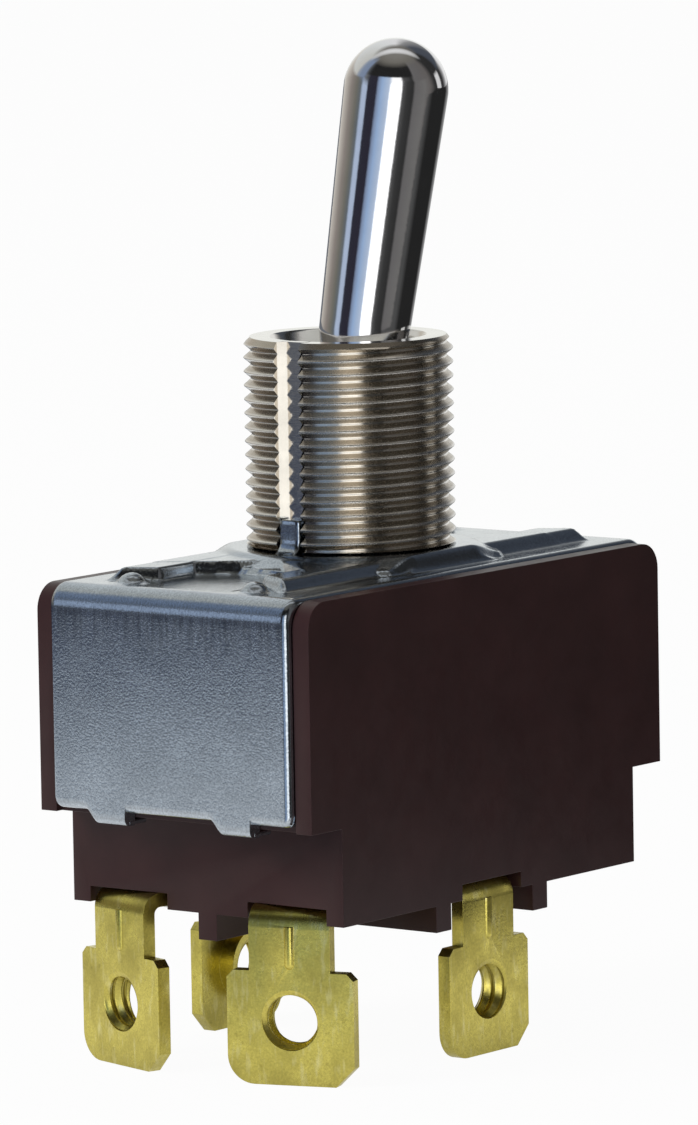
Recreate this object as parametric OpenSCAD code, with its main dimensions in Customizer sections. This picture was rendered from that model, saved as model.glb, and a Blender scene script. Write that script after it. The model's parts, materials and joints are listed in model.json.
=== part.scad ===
// Panel toggle switch: two-pole bat-lever switch in a moulded body under a folded steel frame.
// The panel seats on z = 0 and the bushing axis is Z. The lever leans towards +X at rest.

/* [Body] */
// Length of the body's upper block along X
body_l = 33.3; // [32:0.1:36]
// Width of the body along Y
body_w = 19.1; // [18.8:0.1:21]
// Height of the upper block, from its top edge to the ledge
body_h = 12.8; // [11.5:0.1:15]
// Depth of the ledge at each end, where the lower block is set in
ledge_d = 2.75; // [2.4:0.05:3.2]
// Height of the lower block, from the ledge to the underside
base_h = 5.5; // [5.2:0.1:7]
// Thickness of the outer walls
wall = 1.3; // [1:0.05:1.4]
// Thickness of the floor above the underside
floor_t = 2.0; // [1.8:0.1:2.4]
// Radius on the body's upper end corners
corner_r = 1.5; // [0.5:0.1:2]
// Width of the wall between the two poles
partition_w = 2.5; // [2:0.1:2.8]
// Depth of the barriers that stand below the underside
barrier_h = 1.5; // [1:0.1:2.5]
// Thickness of the two cross barriers
barrier_t = 1.4; // [1:0.1:1.5]
// Distance of the cross barriers' inner faces from the centre
barrier_x = 3.9; // [3.6:0.1:4.2]
// Thickness of the centre barrier at its foot
spine_t = 1.3; // [1:0.1:1.8]

/* [Steel frame] */
// Thickness of the folded sheet
sheet_t = 0.9; // [0.7:0.05:1]
// Width of the frame across the body
frame_w = 16.8; // [16:0.1:17.2]
// How far the end plates stand proud of the body's ends
end_proud = 0.45; // [0.3:0.05:0.6]
// How far the top plate stands proud of the body's top edges
top_proud = 0.15; // [0.1:0.05:0.4]
// Outer radius of the folds
fold_r = 1.3; // [1.1:0.1:2]
// Height of the pressed boss and ribs above the top plate
emboss_h = 0.95; // [0.6:0.05:1.1]
// Spacing of the two clinch tabs on each end plate
tab_pitch = 8.8; // [8:0.1:9.5]
// How far the clinch tabs reach below the end plates
tab_drop = 0.75; // [0.5:0.05:1]
// Diameter of the round dimples
dimple_d = 1.9; // [1.4:0.1:2.2]

/* [Bushing] */
// Thread diameter of the bushing
bushing_d = 11.9; // [11.6:0.05:12.2]
// Height of the bushing above the panel seat
bushing_h = 11.9; // [10:0.1:14]
// Height of the plain neck at the bushing's foot
neck_h = 0.4; // [0.3:0.1:1.5]
// Width of the keyway
keyway_w = 1.7; // [1.4:0.1:2]
// Depth of the keyway
keyway_d = 0.9; // [0.6:0.05:1]
// Diameter of the mouth
mouth_d = 8.7; // [8.6:0.05:9]

/* [Lever] */
// Angle that the lever leans each side of upright
lever_tilt = 14; // [10:0.5:14.5]
// Height of the lever's pivot above the panel seat
pivot_h = 5.75; // [5.4:0.05:6]
// Distance from the pivot to the lever's tip
lever_l = 23.3; // [18:0.1:28]
// Diameter of the lever's round tip
tip_d = 6.0; // [5.2:0.1:7]
// Diameter of the lever at the bushing's mouth
waist_d = 5.15; // [4.6:0.05:5.2]
// Diameter of the ball that the lever pivots on
ball_d = 8.0; // [7.6:0.05:8.1]
// Diameter of the cross pin through the ball
pin_d = 1.6; // [1.2:0.1:1.8]
// Diameter of the lever's tail
tail_d = 3.0; // [2.6:0.1:3.2]

/* [Mechanism] */
// Height of the rockers' trunnions above the floor
trunnion_h = 2.5; // [2.2:0.1:3]
// Angle that the rockers tip each side of level
rocker_swing = 3.5; // [2.5:0.1:4]
// Angle that the rockers' arms rise from the middle
rocker_rise = 8; // [7:0.5:9]
// Gap between the rockers' ends and the body's end walls
rocker_gap = 1.0; // [0.8:0.1:1.4]
// Thickness of the rockers
rocker_t = 0.7; // [0.5:0.05:0.9]
// Diameter of the contacts
contact_d = 2.8; // [2:0.1:3]
// Diameter of the plungers
plunger_d = 2.8; // [2.4:0.1:3]
// Diameter of the spring wire
wire_d = 0.3; // [0.2:0.05:0.4]
// Number of spring coils
spring_turns = 5; // [3:1:6]

/* [Terminals] */
// Thickness of the terminal strip
strip_t = 0.8; // [0.6:0.05:0.85]
// Width of the terminals' necks
neck_w = 4.8; // [4:0.1:5]
// Width of the terminals' plates
plate_w = 7.5; // [6.5:0.1:7.8]
// Height of the terminals' plates
plate_l = 6.4; // [5.8:0.1:7]
// Distance from the underside to the plates' shoulders
shoulder_drop = 2.7; // [2.2:0.1:3.5]
// Distance from the shoulders to the screw hole
hole_drop = 2.75; // [2.6:0.05:3]
// Bore of the tapped hole
tap_d = 2.84; // [2.6:0.02:3]
// Depth of the tapped hole, through strip and collar
tap_l = 1.8; // [1.4:0.1:2.2]
// Width of the terminals' legs at the rivets
leg_w = 3.6; // [3.2:0.1:4]
// Angle that the end terminals are turned outward on their rivets
end_turn = 17; // [0:1:18]

/* [Hidden] */

$fn = 64;
eps = 0.01;              // overlap of cuts that pass through a face
run_gap = 0.1;           // radial clearance of pieces that turn or slide
seat_gap = 0.05;         // clearance beside pieces that drop into a recess
left = 1;
right = -1;

// Levels, from the panel seat down
plate_z = -emboss_h;                     // top of the frame's flat plate
body_top = plate_z - top_proud;
ledge_z = body_top - body_h;
base_z = ledge_z - base_h;
floor_z = base_z + floor_t;
insulator_t = 0.3;
recess_z = plate_z - sheet_t - insulator_t;  // body's recess under the frame
slot_d = strip_t + 0.1;                  // terminal slots in the underside
slot_z = base_z + slot_d;

// Outlines in plan
end_x = body_l / 2 + end_proud;          // outer faces of the frame's end plates
base_x = body_l / 2 - ledge_d;
side_y = body_w / 2;
inner_y = side_y - wall;
inner_x = base_x - wall;
well_w = inner_y - partition_w / 2;
pole_y = inner_y - well_w / 2;           // middle of each pole's well

// Frame details
boss_r = bushing_d / 2 + 0.95;           // flat ring that the panel seats on
boss_foot_r = boss_r + 1.7;
boss_y = boss_r - 0.4;                   // straight flanks along the boss's two long sides
boss_foot_y = boss_y + 0.7;
root_r = bushing_d / 2 - 0.35;           // bushing's plain neck, below the thread
hole_r = root_r + 0.03;
frame_foot_z = ledge_z + 0.3;
tongue_w = keyway_w - 0.3;
tongue_top = 1.9;
tongue_r = 0.8;
tab_w = 2.9;
tab_shift = 0.25;
hook_w = 1.9;
hook_l = 2.0;
dimple_x = end_x - 2.5;
dimple_y = frame_w / 2 - 4.05;
dimple_h = emboss_h * 0.6;
rib_h = emboss_h * 0.75;
rib_y = dimple_y + 0.6;                  // middle of each rib
rib_w = 2.95;                            // at the rib's foot
rib_out = dimple_x - 0.9;                // ends of each rib's foot along X
rib_in = boss_r / 2;
rib_draft = 0.5;

// Bushing details
flange_r = boss_r - 0.6;
flange_z = -sheet_t - 1.7;               // underside of the bushing's flange
ball_r = ball_d / 2;
bore_r = ball_r + run_gap;
throat_r = bore_r - 0.9;
throat_h = 2.6;
pin_l = 2 * bore_r + 1.3;

// Lever details, measured along the lever from its pivot
mouth_s = bushing_h - pivot_h;
tip_s = lever_l - tip_d / 2;
tail_s = 13.2;
bar_top_s = 10.6;                        // actuator's crossbar
bar_foot_s = 15.6;
bar_x = 5.2;
bar_y = 2 * (inner_y - 0.6);
bar_clear = 0.55;                        // under the crossbar with the lever upright
partition_z = pivot_h - bar_foot_s - bar_clear;
pocket_r = plunger_d / 2 + run_gap;
pocket_roof = 0.9;
spring_l = 2.8;                          // springs at rest
pocket_s = bar_top_s + pocket_roof;
plunger_top_s = pocket_s + spring_l;
nose_r = 1.0;                            // plungers' round noses
nose_l = 2.4;

// Rocker and contact details
trunnion_z = floor_z + trunnion_h;
trunnion_r = 0.6;
upright_t = 0.6;
upright_gap = 0.3;                       // beside the rockers
well_gap = 0.2;                          // between the uprights and the wells' walls
rocker_w = well_w - 2 * (upright_t + upright_gap + well_gap);
upright_y = rocker_w / 2 + upright_gap;  // inner faces of the cradle's uprights
upright_top = trunnion_z + trunnion_r + 0.3;
trunnion_l = well_w - well_gap;
rocker_l = inner_x - rocker_gap;
contact_x = rocker_l - contact_d / 2 - 0.1;
arm_slope = rocker_rise - rocker_swing;  // slope of the closed arm at rest
button_h = 0.7;
stud_r = 1.0;
centre_gap = 0.19;                       // plunger to rocker with the lever upright
reach_s = pivot_h - trunnion_z - rocker_t / 2 / cos(rocker_rise) - centre_gap;
face_drop = rocker_t / 2 + button_h;
touch_x = contact_x * cos(arm_slope) + face_drop * sin(arm_slope);
touch_z = trunnion_z + contact_x * sin(arm_slope) - face_drop * cos(arm_slope);
contact_gap = 0.03;
pedestal_h = 0.9;
pedestal_r = contact_d / 2 + 0.4;
stop_z = trunnion_z + contact_x * sin(arm_slope) - rocker_t / 2 - 0.1;
cradle_x = 3.2;

// Terminal details
strip_bend_r = 1.2;
shoulder_z = -(slot_d + shoulder_drop);  // plates' shoulders, from the slots' roofs
strip_reach = base_x + 0.4 - touch_x;    // end terminals' outer faces, from their rivets along X
side_reach = side_y - 0.3 - pole_y;      // centre terminals' outer faces, from their rivets
slot_in_y = pole_y - leg_w / 2 - 0.1;    // inner and outer sides of the end slots
slot_out_y = side_y - wall + 0.1;
slot_in_x = touch_x - stud_r - 1.2;
side_slot_w = neck_w + 0.8;

// ---------------------------------------------------------------- shared shapes

// A prism of an X-Z outline, centred on Y
module across(width) {
    rotate([90, 0, 0])
        linear_extrude(height = width, center = true)
            children();
}

// A prism of a Y-Z outline, centred on X
module along(length) {
    rotate([90, 0, 90])
        linear_extrude(height = length, center = true)
            children();
}

// A block's outline from the side, with its two top corners rounded
module round_topped(half_l, foot, top, r) {
    translate([-half_l, foot])
        square([2 * half_l, top - r - foot]);
    translate([-half_l + r, foot])
        square([2 * (half_l - r), top - foot]);
    for (x = [-1, 1])
        translate([x * (half_l - r), top - r])
            circle(r = r);
}

// ---------------------------------------------------------------- moulded and fibre pieces

module barriers() {
    translate([-base_x, -spine_t / 2, base_z - barrier_h])
        cube([2 * base_x, spine_t, barrier_h + eps]);
    for (side = [left, right])
        translate([side > 0 ? barrier_x : -barrier_x - barrier_t, -side_y, base_z - barrier_h])
            cube([barrier_t, body_w, barrier_h + eps]);
}

module terminal_slots() {
    for (side = [left, right]) {
        translate([-base_x - eps, side > 0 ? slot_in_y : -slot_out_y, base_z - eps])
            cube([base_x - slot_in_x, slot_out_y - slot_in_y, slot_d + eps]);
        translate([-side_slot_w / 2, side > 0 ? pole_y - 2.3 : -side_y - eps, base_z - eps])
            cube([side_slot_w, side_y - pole_y + 2.3 + eps, slot_d + eps]);
    }
}

module housing() {
    color([0.23, 0.15, 0.15])
    difference() {
        union() {
            across(body_w) {
                round_topped(body_l / 2, ledge_z, body_top, corner_r);
                translate([-base_x, base_z])
                    square([2 * base_x, base_h + eps]);
            }
            barriers();
        }
        // recess for the frame's top plate and its insulator
        translate([-body_l / 2 - eps, -frame_w / 2 - seat_gap, recess_z])
            cube([body_l + 2 * eps, frame_w + 2 * seat_gap, emboss_h + 3]);
        // recesses for the end plates
        for (side = [left, right])
            translate([side > 0 ? end_x - sheet_t - seat_gap : -end_x, -frame_w / 2 - seat_gap, ledge_z - eps])
                cube([sheet_t + seat_gap, frame_w + 2 * seat_gap, body_h + eps]);
        // common space for the actuator, and a well for each pole
        translate([-inner_x, -inner_y, partition_z])
            cube([2 * inner_x, 2 * inner_y, body_h]);
        for (side = [left, right])
            translate([-inner_x, side > 0 ? partition_w / 2 : -inner_y, floor_z])
                cube([2 * inner_x, well_w, partition_z - floor_z + eps]);
        terminal_slots();
        // rivet holes through the floor
        for (side = [left, right])
            for (x = [-touch_x, 0])
                translate([x, side * pole_y, base_z])
                    cylinder(r = stud_r + seat_gap, h = 2 * floor_t, center = true);
    }
    color([0.23, 0.15, 0.15])
    for (side = [left, right]) {
        // pedestal under each fixed contact
        translate([-touch_x, side * pole_y, floor_z])
            difference() {
                translate([0, 0, -eps])
                    cylinder(r = pedestal_r, h = pedestal_h + eps);
                translate([0, 0, -1])
                    cylinder(r = stud_r + seat_gap, h = pedestal_h + 2);
            }
        // stop under each open arm
        translate([touch_x - 0.8, side * pole_y - 2, floor_z - eps])
            cube([1.6, 4, stop_z - floor_z + eps]);
    }
}

module insulator() {
    color([0.62, 0.52, 0.40])
    translate([0, 0, recess_z])
        linear_extrude(height = insulator_t - 0.02)
            difference() {
                square([body_l - 2 * end_proud - 2, frame_w - 0.4], center = true);
                square(2 * (flange_r + 0.6), center = true);
            }
}

module actuator() {
    color([0.12, 0.12, 0.13])
    at_lever()
        difference() {
            union() {
                translate([-bar_x / 2, -bar_y / 2, -bar_foot_s])
                    cube([bar_x, bar_y, bar_foot_s - bar_top_s]);
                translate([0, 0, -bar_top_s - eps])
                    cylinder(r1 = bar_x / 2, r2 = tail_d / 2 + 0.5, h = 1.2);
            }
            translate([0, 0, -tail_s - 0.05])
                cylinder(r = tail_d / 2 + 0.02, h = tail_s);
            for (side = [left, right])
                translate([0, side * pole_y, -bar_foot_s - eps])
                    cylinder(r = pocket_r, h = bar_foot_s - pocket_s + eps);
            // thinned between the pockets and the hub
            for (side = [left, right])
                for (x = [-1, 1])
                    translate([x * bar_x / 2, side * pole_y / 2 * 1.02, -bar_foot_s - eps])
                        cylinder(r = 0.7, h = bar_foot_s - bar_top_s - 1);
        }
}

// ---------------------------------------------------------------- steel frame

// Runs children at the four corners of the top plate
module four_corners() {
    for (sx = [0, 1])
        for (sy = [0, 1])
            mirror([sx, 0, 0])
                mirror([0, sy, 0])
                    children();
}

// A stiffening rib with drafted flanks, from beside the dimple into the boss
module rib() {
    half_l = (rib_out - rib_in) / 2;
    half_w = rib_w / 2;
    corner = 0.9;
    translate([rib_in + half_l, rib_y, plate_z - eps])
        linear_extrude(height = rib_h + eps, scale = [1 - rib_draft / half_l, 1 - rib_draft / half_w], slices = 1)
            hull()
                for (x = [-1, 1])
                    for (y = [-1, 1])
                        translate([x * (half_l - corner), y * (half_w - corner)])
                            circle(r = corner, $fn = 32);
}

// A round dimple, pressed up as a dome
module dimple() {
    dome_r = (dimple_d * dimple_d / 4 + dimple_h * dimple_h) / (2 * dimple_h);
    translate([dimple_x, dimple_y, plate_z])
        intersection() {
            translate([0, 0, dimple_h - dome_r])
                sphere(r = dome_r);
            translate([0, 0, -eps])
                cylinder(d = dimple_d, h = 2 * dimple_h);
        }
}

// The hollows that pressing a rib and a dimple leaves in the underside
module pressed_hollows() {
    translate([rib_in + 0.6, rib_y - 0.6, plate_z - sheet_t - 1])
        cube([rib_out - rib_in - 1.6, 1.2, 1 + rib_h]);
    translate([dimple_x, dimple_y, plate_z - sheet_t - 1])
        cylinder(r = 0.45, h = 1 + dimple_h - 0.1);
}

// Raised ring round the bushing with its foot on level z, flanked straight along both long sides
module boss(z, skirt) {
    translate([0, 0, z])
        intersection() {
            rotate_extrude()
                polygon([
                    [0, -skirt], [boss_foot_r, -skirt], [boss_foot_r, 0],
                    [boss_r, emboss_h], [0, emboss_h]
                ]);
            along(2 * boss_foot_r + 1)
                polygon([
                    [-boss_foot_y, -skirt - 1], [boss_foot_y, -skirt - 1], [boss_foot_y, 0],
                    [2 * boss_y - boss_foot_y, 2 * emboss_h], [boss_foot_y - 2 * boss_y, 2 * emboss_h],
                    [-boss_foot_y, 0]
                ]);
        }
}

// Keying tongue, turned up out of the plate into the keyway on a hollow bend
module tongue() {
    inner_x = bushing_d / 2 - keyway_d + seat_gap;
    outer_x = bushing_d / 2 - 0.15;
    across(tongue_w)
        difference() {
            translate([-outer_x - tongue_r, -sheet_t])
                square([outer_x + tongue_r - inner_x, sheet_t + tongue_top]);
            translate([-outer_x - tongue_r, tongue_r])
                circle(r = tongue_r);
            translate([-outer_x - tongue_r - eps, tongue_r])
                square([tongue_r + eps, tongue_top]);
        }
}

// Clinch tab at the foot of an end plate, with its hook turned in under the ledge
module clinch_tab() {
    translate([-end_x, tab_shift, frame_foot_z]) {
        rotate([90, 0, 90])
            linear_extrude(height = sheet_t)
                polygon([
                    [tab_w / 2, eps], [tab_w / 2 - tab_drop, -tab_drop],
                    [-tab_w / 2, -tab_drop], [-tab_w / 2, eps]
                ]);
        translate([sheet_t - eps, -tab_w / 2, -tab_drop])
            cube([hook_l - sheet_t, hook_w, tab_drop - (frame_foot_z - ledge_z) - seat_gap]);
    }
}

module steel_frame() {
    color([0.62, 0.68, 0.74])
    difference() {
        union() {
            // the strip is folded into a U, upside down
            across(frame_w)
                difference() {
                    round_topped(end_x, frame_foot_z, plate_z, fold_r);
                    round_topped(end_x - sheet_t, frame_foot_z - 1, plate_z - sheet_t, fold_r - sheet_t);
                }
            boss(plate_z, eps);
            four_corners() {
                rib();
                dimple();
            }
            for (turn = [0, 180])
                for (y = [-1, 1])
                    rotate([0, 0, turn])
                        translate([0, y * tab_pitch / 2, 0])
                            clinch_tab();
        }
        // the pressing shows as hollows on the underside
        boss(plate_z - sheet_t, 1);
        four_corners()
            pressed_hollows();
        translate([0, 0, plate_z - 1])
            cylinder(r = hole_r, h = emboss_h + 2);
    }
    color([0.62, 0.68, 0.74])
    tongue();
}

// ---------------------------------------------------------------- bushing

module bushing() {
    color([0.78, 0.76, 0.72])
    difference() {
        union() {
            translate([0, 0, neck_h])
                cylinder(d = bushing_d, h = bushing_h - neck_h);
            translate([0, 0, flange_z])
                cylinder(r = root_r, h = neck_h - flange_z + eps);
            translate([0, 0, flange_z])
                cylinder(r = flange_r, h = -sheet_t - flange_z);
        }
        // bore for the ball, throat and flared mouth
        translate([0, 0, flange_z - eps])
            cylinder(r = bore_r, h = pivot_h - flange_z + eps);
        translate([0, 0, pivot_h])
            sphere(r = bore_r, $fn = 96);
        translate([0, 0, pivot_h + throat_h - 0.6])
            cylinder(r1 = throat_r - 0.2, r2 = mouth_d / 2, h = bushing_h - pivot_h - throat_h + 0.6 + eps);
        // grooves that the cross pin's ends slide up
        translate([0, 0, pivot_h])
            rotate([90, 0, 0])
                cylinder(d = pin_d + run_gap, h = pin_l + 0.2, center = true);
        translate([-(pin_d + run_gap) / 2, -pin_l / 2 - 0.1, flange_z - eps])
            cube([pin_d + run_gap, pin_l + 0.2, pivot_h - flange_z + eps]);
        // keyway
        translate([-bushing_d, -keyway_w / 2, -sheet_t - eps])
            cube([bushing_d / 2 + keyway_d, keyway_w, bushing_h + sheet_t + 1]);
    }
}

// ---------------------------------------------------------------- lever and what it carries

// Places children in the lever's own frame: pivot at the origin, lever along Z
module at_lever() {
    translate([0, 0, pivot_h])
        rotate([0, lever_tilt, 0])
            children();
}

module lever() {
    neck_s = sqrt(ball_r * ball_r - 4.4);
    color([0.80, 0.81, 0.83])
    at_lever()
        difference() {
            union() {
                sphere(r = ball_r, $fn = 96);
                translate([0, 0, neck_s - 0.3])
                    cylinder(r1 = 2.1, d2 = waist_d, h = mouth_s - neck_s + 0.3);
                translate([0, 0, mouth_s - eps])
                    cylinder(d1 = waist_d, d2 = tip_d, h = tip_s - mouth_s + eps);
                translate([0, 0, tip_s])
                    sphere(d = tip_d, $fn = 96);
                translate([0, 0, -tail_s])
                    cylinder(d = tail_d, h = tail_s);
            }
            rotate([90, 0, 0])
                cylinder(d = pin_d + 0.02, h = 2 * ball_d, center = true);
        }
}

module lever_pin() {
    color([0.60, 0.60, 0.62])
    at_lever()
        rotate([90, 0, 0])
            cylinder(d = pin_d, h = pin_l, center = true);
}

module plunger(side) {
    color([0.93, 0.92, 0.88])
    at_lever()
        translate([0, side * pole_y, 0]) {
            translate([0, 0, -reach_s + nose_l])
                cylinder(d = plunger_d, h = reach_s - nose_l - plunger_top_s);
            translate([0, 0, -reach_s + nose_r])
                cylinder(r1 = nose_r, d2 = plunger_d, h = nose_l - nose_r + eps);
            translate([0, 0, -reach_s + nose_r])
                sphere(r = nose_r, $fn = 48);
        }
}

// Coil spring: a round wire swept along a helix, closed at both ends
module coil(coil_r, length, turns) {
    sides = 8;
    steps = turns * 14;
    wire_r = wire_d / 2;
    points = [
        for (i = [0 : steps])
            for (j = [0 : sides - 1])
                let (a = 360 * turns * i / steps, b = 360 * j / sides, r = coil_r + wire_r * cos(b))
                    [r * cos(a), r * sin(a), wire_r + (length - wire_d) * i / steps + wire_r * sin(b)]
    ];
    walls = [
        for (i = [0 : steps - 1])
            for (j = [0 : sides - 1])
                [
                    i * sides + j, (i + 1) * sides + j,
                    (i + 1) * sides + (j + 1) % sides, i * sides + (j + 1) % sides
                ]
    ];
    ends = [
        [for (j = [0 : sides - 1]) j],
        [for (j = [0 : sides - 1]) (steps + 1) * sides - 1 - j]
    ];
    polyhedron(points = points, faces = concat(walls, ends), convexity = 10);
}

module spring(side) {
    slack = 0.02;
    color([0.75, 0.75, 0.77])
    at_lever()
        translate([0, side * pole_y, -plunger_top_s + slack])
            coil(pocket_r - wire_d / 2 - 0.15, plunger_top_s - pocket_s - 2 * slack, spring_turns);
}

// ---------------------------------------------------------------- rockers and contacts

// Places children in a rocker's own frame, tipped onto its closed contact
module at_rocker(side) {
    translate([0, side * pole_y, trunnion_z])
        rotate([0, -rocker_swing, 0])
            children();
}

module rocker(side) {
    color([0.72, 0.45, 0.30])
    at_rocker(side) {
        for (turn = [0, 180])
            rotate([0, 0, turn])
                rotate([0, -rocker_rise, 0])
                    translate([0, -rocker_w / 2, -rocker_t / 2])
                        cube([rocker_l, rocker_w, rocker_t]);
        rotate([90, 0, 0])
            cylinder(r = trunnion_r, h = trunnion_l, center = true);
    }
}

module moving_contact(side) {
    color([0.85, 0.85, 0.84])
    at_rocker(side)
        rotate([0, rocker_rise, 0])
            translate([-contact_x, 0, -rocker_t / 2 - button_h])
                cylinder(d = contact_d, h = button_h);
}

module fixed_contact(side) {
    head_z = floor_z + pedestal_h;
    crown = 0.35;
    top_z = touch_z - contact_gap - contact_d / 2 * sin(arm_slope);
    color([0.85, 0.84, 0.82])
    translate([-touch_x, side * pole_y, 0]) {
        translate([0, 0, head_z])
            cylinder(d = contact_d, h = top_z - crown - head_z);
        translate([0, 0, top_z - crown - eps])
            cylinder(d1 = contact_d, d2 = contact_d - 0.8, h = crown);
        translate([0, 0, slot_z - strip_t - 0.1])
            cylinder(r = stud_r, h = head_z - slot_z + strip_t + 0.1 + eps);
        translate([0, 0, slot_z - strip_t - 0.5])
            cylinder(r1 = stud_r + 0.2, r2 = stud_r + 0.6, h = 0.5);
    }
}

module cradle(side) {
    color([0.78, 0.66, 0.34])
    translate([0, side * pole_y, 0]) {
        difference() {
            translate([-cradle_x, -upright_y - upright_t, floor_z])
                cube([2 * cradle_x, 2 * (upright_y + upright_t), upright_t]);
            translate([0, 0, floor_z - 1])
                cylinder(r = stud_r + seat_gap, h = 3);
        }
        for (edge = [-1, 1])
            translate([0, edge * (upright_y + upright_t / 2), 0])
                across(upright_t)
                    difference() {
                        polygon([
                            [-cradle_x, floor_z], [cradle_x, floor_z],
                            [1.7, upright_top], [-1.7, upright_top]
                        ]);
                        translate([0, trunnion_z])
                            circle(r = trunnion_r + seat_gap, $fn = 48);
                        translate([-trunnion_r - seat_gap, trunnion_z])
                            square([2 * (trunnion_r + seat_gap), 2]);
                    }
    }
}

module cradle_rivets() {
    head_z = floor_z + upright_t;
    color([0.80, 0.62, 0.38])
    for (side = [left, right])
        translate([0, side * pole_y, 0]) {
            translate([0, 0, head_z])
                cylinder(r1 = stud_r + 0.6, r2 = stud_r + 0.2, h = 0.5);
            translate([0, 0, slot_z - strip_t - 0.1])
                cylinder(r = stud_r, h = head_z - slot_z + strip_t + 0.1 + eps);
            translate([0, 0, slot_z - strip_t - 0.5])
                cylinder(r1 = stud_r + 0.2, r2 = stud_r + 0.6, h = 0.5);
        }
}

// ---------------------------------------------------------------- terminals

// Outline of the hanging plate, from its shoulders down, one lower corner round and one cut
module plate_outline() {
    foot_z = shoulder_z - plate_l;
    round_r = 1.6;
    cut = 1.1;
    nick = 0.4;
    hull() {
        translate([plate_w / 2 - round_r, foot_z + round_r])
            circle(r = round_r, $fn = 48);
        polygon([
            [-plate_w / 2, shoulder_z - nick], [-plate_w / 2 + nick, shoulder_z],
            [plate_w / 2 - nick, shoulder_z], [plate_w / 2, shoulder_z - nick],
            [-plate_w / 2, foot_z + cut], [-plate_w / 2 + cut, foot_z]
        ]);
    }
}

// A terminal riveted at the origin: its leg lies under z = 0 and runs towards -X,
// bends down, and hangs with its outer face at x = -reach.
module terminal(reach) {
    hole_z = shoulder_z - hole_drop;
    collar_r = tap_d / 2 + 0.7;
    bend_x = -reach + strip_bend_r;
    root_l = 0.6;
    dart_r = 0.32;
    difference() {
        union() {
            translate([0, 0, -strip_t])
                linear_extrude(height = strip_t) {
                    circle(d = leg_w);
                    polygon([
                        [0, -leg_w / 2], [0, leg_w / 2],
                        [bend_x + root_l, neck_w / 2], [bend_x + root_l / 2, neck_w / 2],
                        [bend_x + root_l / 2, -neck_w / 2], [bend_x + root_l, -neck_w / 2]
                    ]);
                }
            // the leg's root, the quarter bend and the neck, as one run of strip
            across(neck_w)
                difference() {
                    union() {
                        translate([-reach, shoulder_z - eps])
                            square([strip_t, -shoulder_z - strip_bend_r + eps]);
                        translate([bend_x, -strip_t])
                            square([root_l, strip_t]);
                        translate([bend_x, -strip_bend_r])
                            intersection() {
                                circle(r = strip_bend_r);
                                translate([-strip_bend_r, 0])
                                    square(strip_bend_r);
                            }
                    }
                    translate([bend_x, -strip_bend_r])
                        circle(r = strip_bend_r - strip_t);
                }
            translate([-reach, 0, 0])
                rotate([90, 0, 90])
                    linear_extrude(height = strip_t)
                        plate_outline();
            // collar drawn out behind the tapped hole
            translate([-reach + strip_t - eps, 0, hole_z])
                rotate([0, 90, 0])
                    cylinder(r = collar_r, h = tap_l - strip_t + eps);
            // pressed dart that stiffens the bend
            translate([-reach + 0.15, 0, -3.2]) {
                cylinder(r = dart_r, h = 2.1);
                sphere(r = dart_r, $fn = 32);
            }
        }
        translate([-reach - 1, 0, hole_z])
            rotate([0, 90, 0])
                cylinder(d = tap_d, h = tap_l + 2);
        translate([0, 0, -strip_t - 1])
            cylinder(r = stud_r + seat_gap, h = strip_t + 2);
    }
}

module end_terminal(side) {
    color([0.78, 0.66, 0.28])
    translate([-touch_x, side * pole_y, slot_z])
        rotate([0, 0, -side * end_turn])
            terminal(strip_reach / cos(end_turn));
}

module centre_terminal(side) {
    color([0.78, 0.66, 0.28])
    translate([0, side * pole_y, slot_z])
        rotate([0, 0, -side * 90])
            terminal(side_reach);
}

housing();
steel_frame();
insulator();
bushing();
lever();
lever_pin();
actuator();
plunger(left);  // plunger_left
plunger(right);  // plunger_right
spring(left);  // spring_left
spring(right);  // spring_right
rocker(left);  // rocker_left
rocker(right);  // rocker_right
moving_contact(left);  // moving_contact_left
moving_contact(right);  // moving_contact_right
cradle(left);  // cradle_left
cradle(right);  // cradle_right
cradle_rivets();
fixed_contact(left);  // fixed_contact_left
fixed_contact(right);  // fixed_contact_right
end_terminal(left);  // end_terminal_left
end_terminal(right);  // end_terminal_right
centre_terminal(left);  // centre_terminal_left
centre_terminal(right);  // centre_terminal_right
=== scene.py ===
"""Looks of a two-pole panel toggle switch: a chrome bat lever in a nickel-plated threaded bushing,
over a zinc-plated pressed frame and a moulded phenolic body with brass screw terminals."""

import json
import math

import bmesh
import bpy
import numpy as np
from mathutils import Matrix, Vector


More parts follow.
